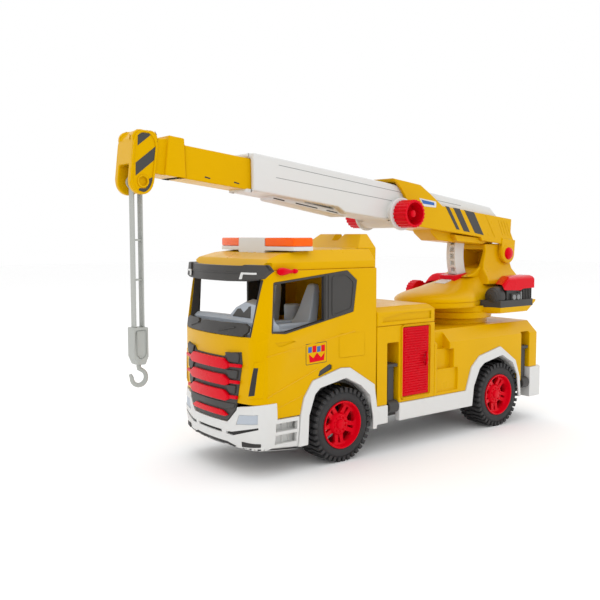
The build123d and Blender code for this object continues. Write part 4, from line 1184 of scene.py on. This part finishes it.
def boom_base():
    """The boom's base: a channel with sunk ribs, stripes, a plate, and ears round its pivot."""
    body = BODY_OF["boom_base"]
    seam = [(54.6, 46.8), (53.2, 46.6), (29.4, 19.5), (30.8, 19.5)]
    ribs = [[(s + 1.2, 44.0), (s, 44.0), (s - 13, 24.0), (s - 11.8, 24.0)] for s in (8, 14, 20, 26)]
    grooves = [along(line, BASE_FACE - 0.5, BASE_FACE + 3) for line in [seam] + ribs]
    moulded("boom_base", 0.9, both(together(*grooves)))
    build("boom_wedges", both(along(WEDGE, 15.0, 24.0)), body, "yellow_body", 1.0, clamp=True)
    skin = (BASE_FACE - 0.2, BASE_FACE + 0.25)
    build("boom_stripes", both(together(*[along(line, *skin) for line in STRIPES])), body, "dark_plastic")
    build("boom_plate", both(along(rounded(PLATE, 1.5, 3), *skin)), body, "white_trim")
    mark = along(PLATE_MARK, BASE_FACE + 0.1, BASE_FACE + 0.4)
    build("boom_plate_mark", both(mark), body, "dark_plastic", paint=BLUE)
    pivot = boom_point(0, 0)
    ear = [(0, 30.4), (13.2, 30.4), (13.2, 31.0), (12.4, 31.5), (0, 31.5)]
    build("boom_ears", both(lathe(ear, pivot, "y", 40)), body, "yellow_body")
    dome = [(0, 31.0), (8.6, 31.0), (8.6, 31.8), (7.8, 33.4), (5.6, 34.4), (2.8, 34.9), (0, 35)]
    heads = build("boom_pin_heads", both(lathe(dome, pivot, "y", 32)), BODY_OF["boom_pin"], "red_plastic")
    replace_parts(heads, "boom_pin")


KNOB_TEETH = 22


def knurled(name, node, centre, r, y0, y1, pair=False):
    """A cup-shaped knob with a coarsely knurled rim on the right side, or one on each side."""
    x, _, z = centre
    teeth = []
    for k in range(KNOB_TEETH):
        for share, reach in ((-0.62, r - 1.0), (-0.40, r), (0.40, r), (0.62, r - 1.0)):
            a = (2 * k + share) * math.pi / KNOB_TEETH
            teeth.append((x + reach * math.cos(a), z + reach * math.sin(a)))
    rim_work = prism(teeth, "y", y0, y1)
    bowl = lathe([(0, y0 + 5), (r - 4.2, y0 + 5), (r - 3.2, y1 + 2), (0, y1 + 2)], centre, "y", 40)
    end = y0 + min(17.5, y1 - y0 - 2)
    hub = lathe([(0, y0 + 4), (5.0, y0 + 4), (4.6, end), (3.8, end + 0.8), (0, end + 0.8)], centre, "y", 24)
    if pair:
        rim_work, bowl, hub = both(rim_work), both(bowl), both(hub)
    piece = build(name, rim_work, BODY_OF[node], "red_plastic", 0.35, bowl)
    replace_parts(piece, node)
    build(name + "_hub", hub, BODY_OF[node], "red_plastic")


# On the main section: grey lines along its side, painted shade in its grooves; near black strips under its
# edge from point to point, painted shade in its slots; and its knobs' axle
LINES = ([(120, 42.1), (404, 44.1), (404, 44.7), (120, 42.7)],
         [(100, 53.6), (402, 58.1), (402, 58.7), (100, 54.2)])
UNDER = (((397, 21.6), (382, 20.8)), ((366, 20.2), (334, 18.6)), ((320, 18.0), (293, 16.8)))
KNOB_AT = (215.7, 28.0)


def boom_parts():
    boom_base()
    body = BODY_OF["boom_main"]
    moulded("boom_main", 2.0)
    # Grey lines in the side grooves: painted shade.
    lines = together(*[along(line, 23.9, 24.32) for line in LINES])
    build("boom_grooves", both(lines), body, "grey_interior", paint=GREY_CAPS_AND_GROOVE_SHADE)
    # Near black strips in the slots under the section's edge: painted shade.
    works = [both(along([(s0, t0 + 2.2), (s1, t1 + 2.2), (s1, t1 + 1.0), (s0, t0 + 1.0)], 12.6, 13.15))
             for (s0, t0), (s1, t1) in UNDER]
    build("boom_slot_shade", together(*works), body, "dark_plastic", paint=SHADE_AND_TRIM_DARK)
    boom_tip()
    axle = boom_point(*KNOB_AT)
    knurled("extension_grips", "extension_knobs", axle, 17.0, 34.0, 55.0, pair=True)
    shell = lathe([(0, 31.0), (20.0, 31.0), (20.0, 32.6), (18.6, 33.6), (0, 33.6)], axle, "y", 48)
    build("gear_housing", both(shell), body, "white_trim")


CHEEK = [(545.6, 54.5), (548.6, 62.5), (555.5, 67.0), (564.0, 67.0), (570.2, 62.0), (571.8, 54.0),
         (571.8, 17.5), (569.6, 11.0), (564.8, 6.0), (559.0, 4.6), (553.2, 6.0), (548.4, 11.0), (546.2, 17.5)]
HEAD_PIN_AT = (558.0, 17.5)


def cheek_rims():
    """Raised rims round the head's cheeks."""
    outer = [(-s, t) for s, t in rounded(CHEEK, 3.0, 3)]
    middle = (-sum(s for s, _ in CHEEK) / len(CHEEK), sum(t for _, t in CHEEK) / len(CHEEK))
    inner = [(middle[0] + (x - middle[0]) * 0.84, middle[1] + (t - middle[1]) * 0.945) for x, t in outer]
    return boomed(both(band(outer, inner, INNER - 0.5, INNER + 1.2)))


def boom_tip():
    """The sliding section's end: block, neck and two rimmed cheeks with hazard stripes."""
    moulded("boom_inner", 1.2)
    # Near black marks in the sliding section's notches: painted shade.
    marks = [both(along([(s, 32.2), (s + 7, 33.0), (s + 7, 31.6), (s + 1, 31.0)], INNER - 0.4, INNER + 0.15))
             for s in (446, 482)]
    build("inner_notch_shade", together(*marks), BODY_OF["boom_inner"], "dark_plastic", paint=SHADE_AND_TRIM_DARK)
    body = BODY_OF["boom_head"]
    moulded("boom_head", 1.4)
    build("cheek_rims", cheek_rims(), body, "yellow_body", 0.5, clamp=True)
    pin = boom_point(*HEAD_PIN_AT)
    eye = lathe([(4.7, INNER - 0.6), (6.4, INNER - 0.6), (6.4, INNER + 0.7), (5.9, INNER + 1.2),
                 (4.7, INNER + 0.8)], pin, "y", 32)
    cap = lathe([(0, 13.9), (4.4, 13.9), (4.4, 14.8), (0, 14.8)], pin, "y", 24)
    build("cheek_eyes", both(together(eye, cap)), body, "yellow_body")
    stripes = [both(along(line, INNER - 0.2, INNER + 0.3)) for line in HEAD_STRIPES]
    build("head_stripes", together(*stripes), body, "dark_plastic")


# Hanger and hook

RAIL = 1.6                                # thickness of the twin bar
HOOK_R, HOOK_Z = 8.0, 108.4


def hanger_rails():
    """A moulded twin bar, joined over the pulley and by its rungs."""
    low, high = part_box("hanger_bars")
    x, _ = node_middle("hanger_bars")
    foot, half = low.z / MM, (high.x - low.x) / 2 / MM
    bend = high.z / MM - half
    outer = [(x + half, foot)] + arc(x, bend, half, range(0, 181, 15)) + [(x - half, foot)]
    inner = arc(x, bend, half - RAIL, range(180, -1, -15))
    outline = outer + [(x - half + RAIL, foot)] + inner + [(x + half - RAIL, foot)]
    works = [prism(outline, "y", -4.8, 4.8)]
    for z in (248, 208):
        works.append(block(x - half + 0.8, x + half - 0.8, -3.2, 3.2, z - 0.9, z + 0.9))
    piece = build("hanger_rails", together(*works), BODY_OF["hanger_bars"], "hanger_grey", 0.45, clamp=True)
    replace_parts(piece, "hanger_bars")


def hanger():
    hanger_rails()
    moulded("hook_block", 1.2)
    x, _ = node_middle("hook_block")
    path, radii = [(x, 0, 126.0), (x, 0, 120.0), (x + 0.4, 0, 117.5)], [2.3, 2.3, 2.4]
    for k in range(15):
        a = math.radians(62 - 17.5 * k)
        path.append((x + (HOOK_R - 0.1) * math.cos(a), 0, HOOK_Z + HOOK_R * math.sin(a)))
        radii.append(2.5 - 0.4 * abs(k - 7) / 7)
    path.append((x - 9.4, 0, HOOK_Z + 4))
    radii.append(1.6)
    hook = build("hook_bend", tube(path, radii, 16), BODY_OF["hook"], "hanger_grey")
    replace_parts(hook, "hook")


def plain():
    """Every CAD node gets its plastic, for those that stay."""
    for node, thing in frame["nodes"].items():
        thing.data.materials.clear()
        thing.data.materials.append(PAINT[SLOT_OF[node]])


plain()
wheels()
cab()
body_shells()
turntable()
boom_parts()
hanger()
studio()
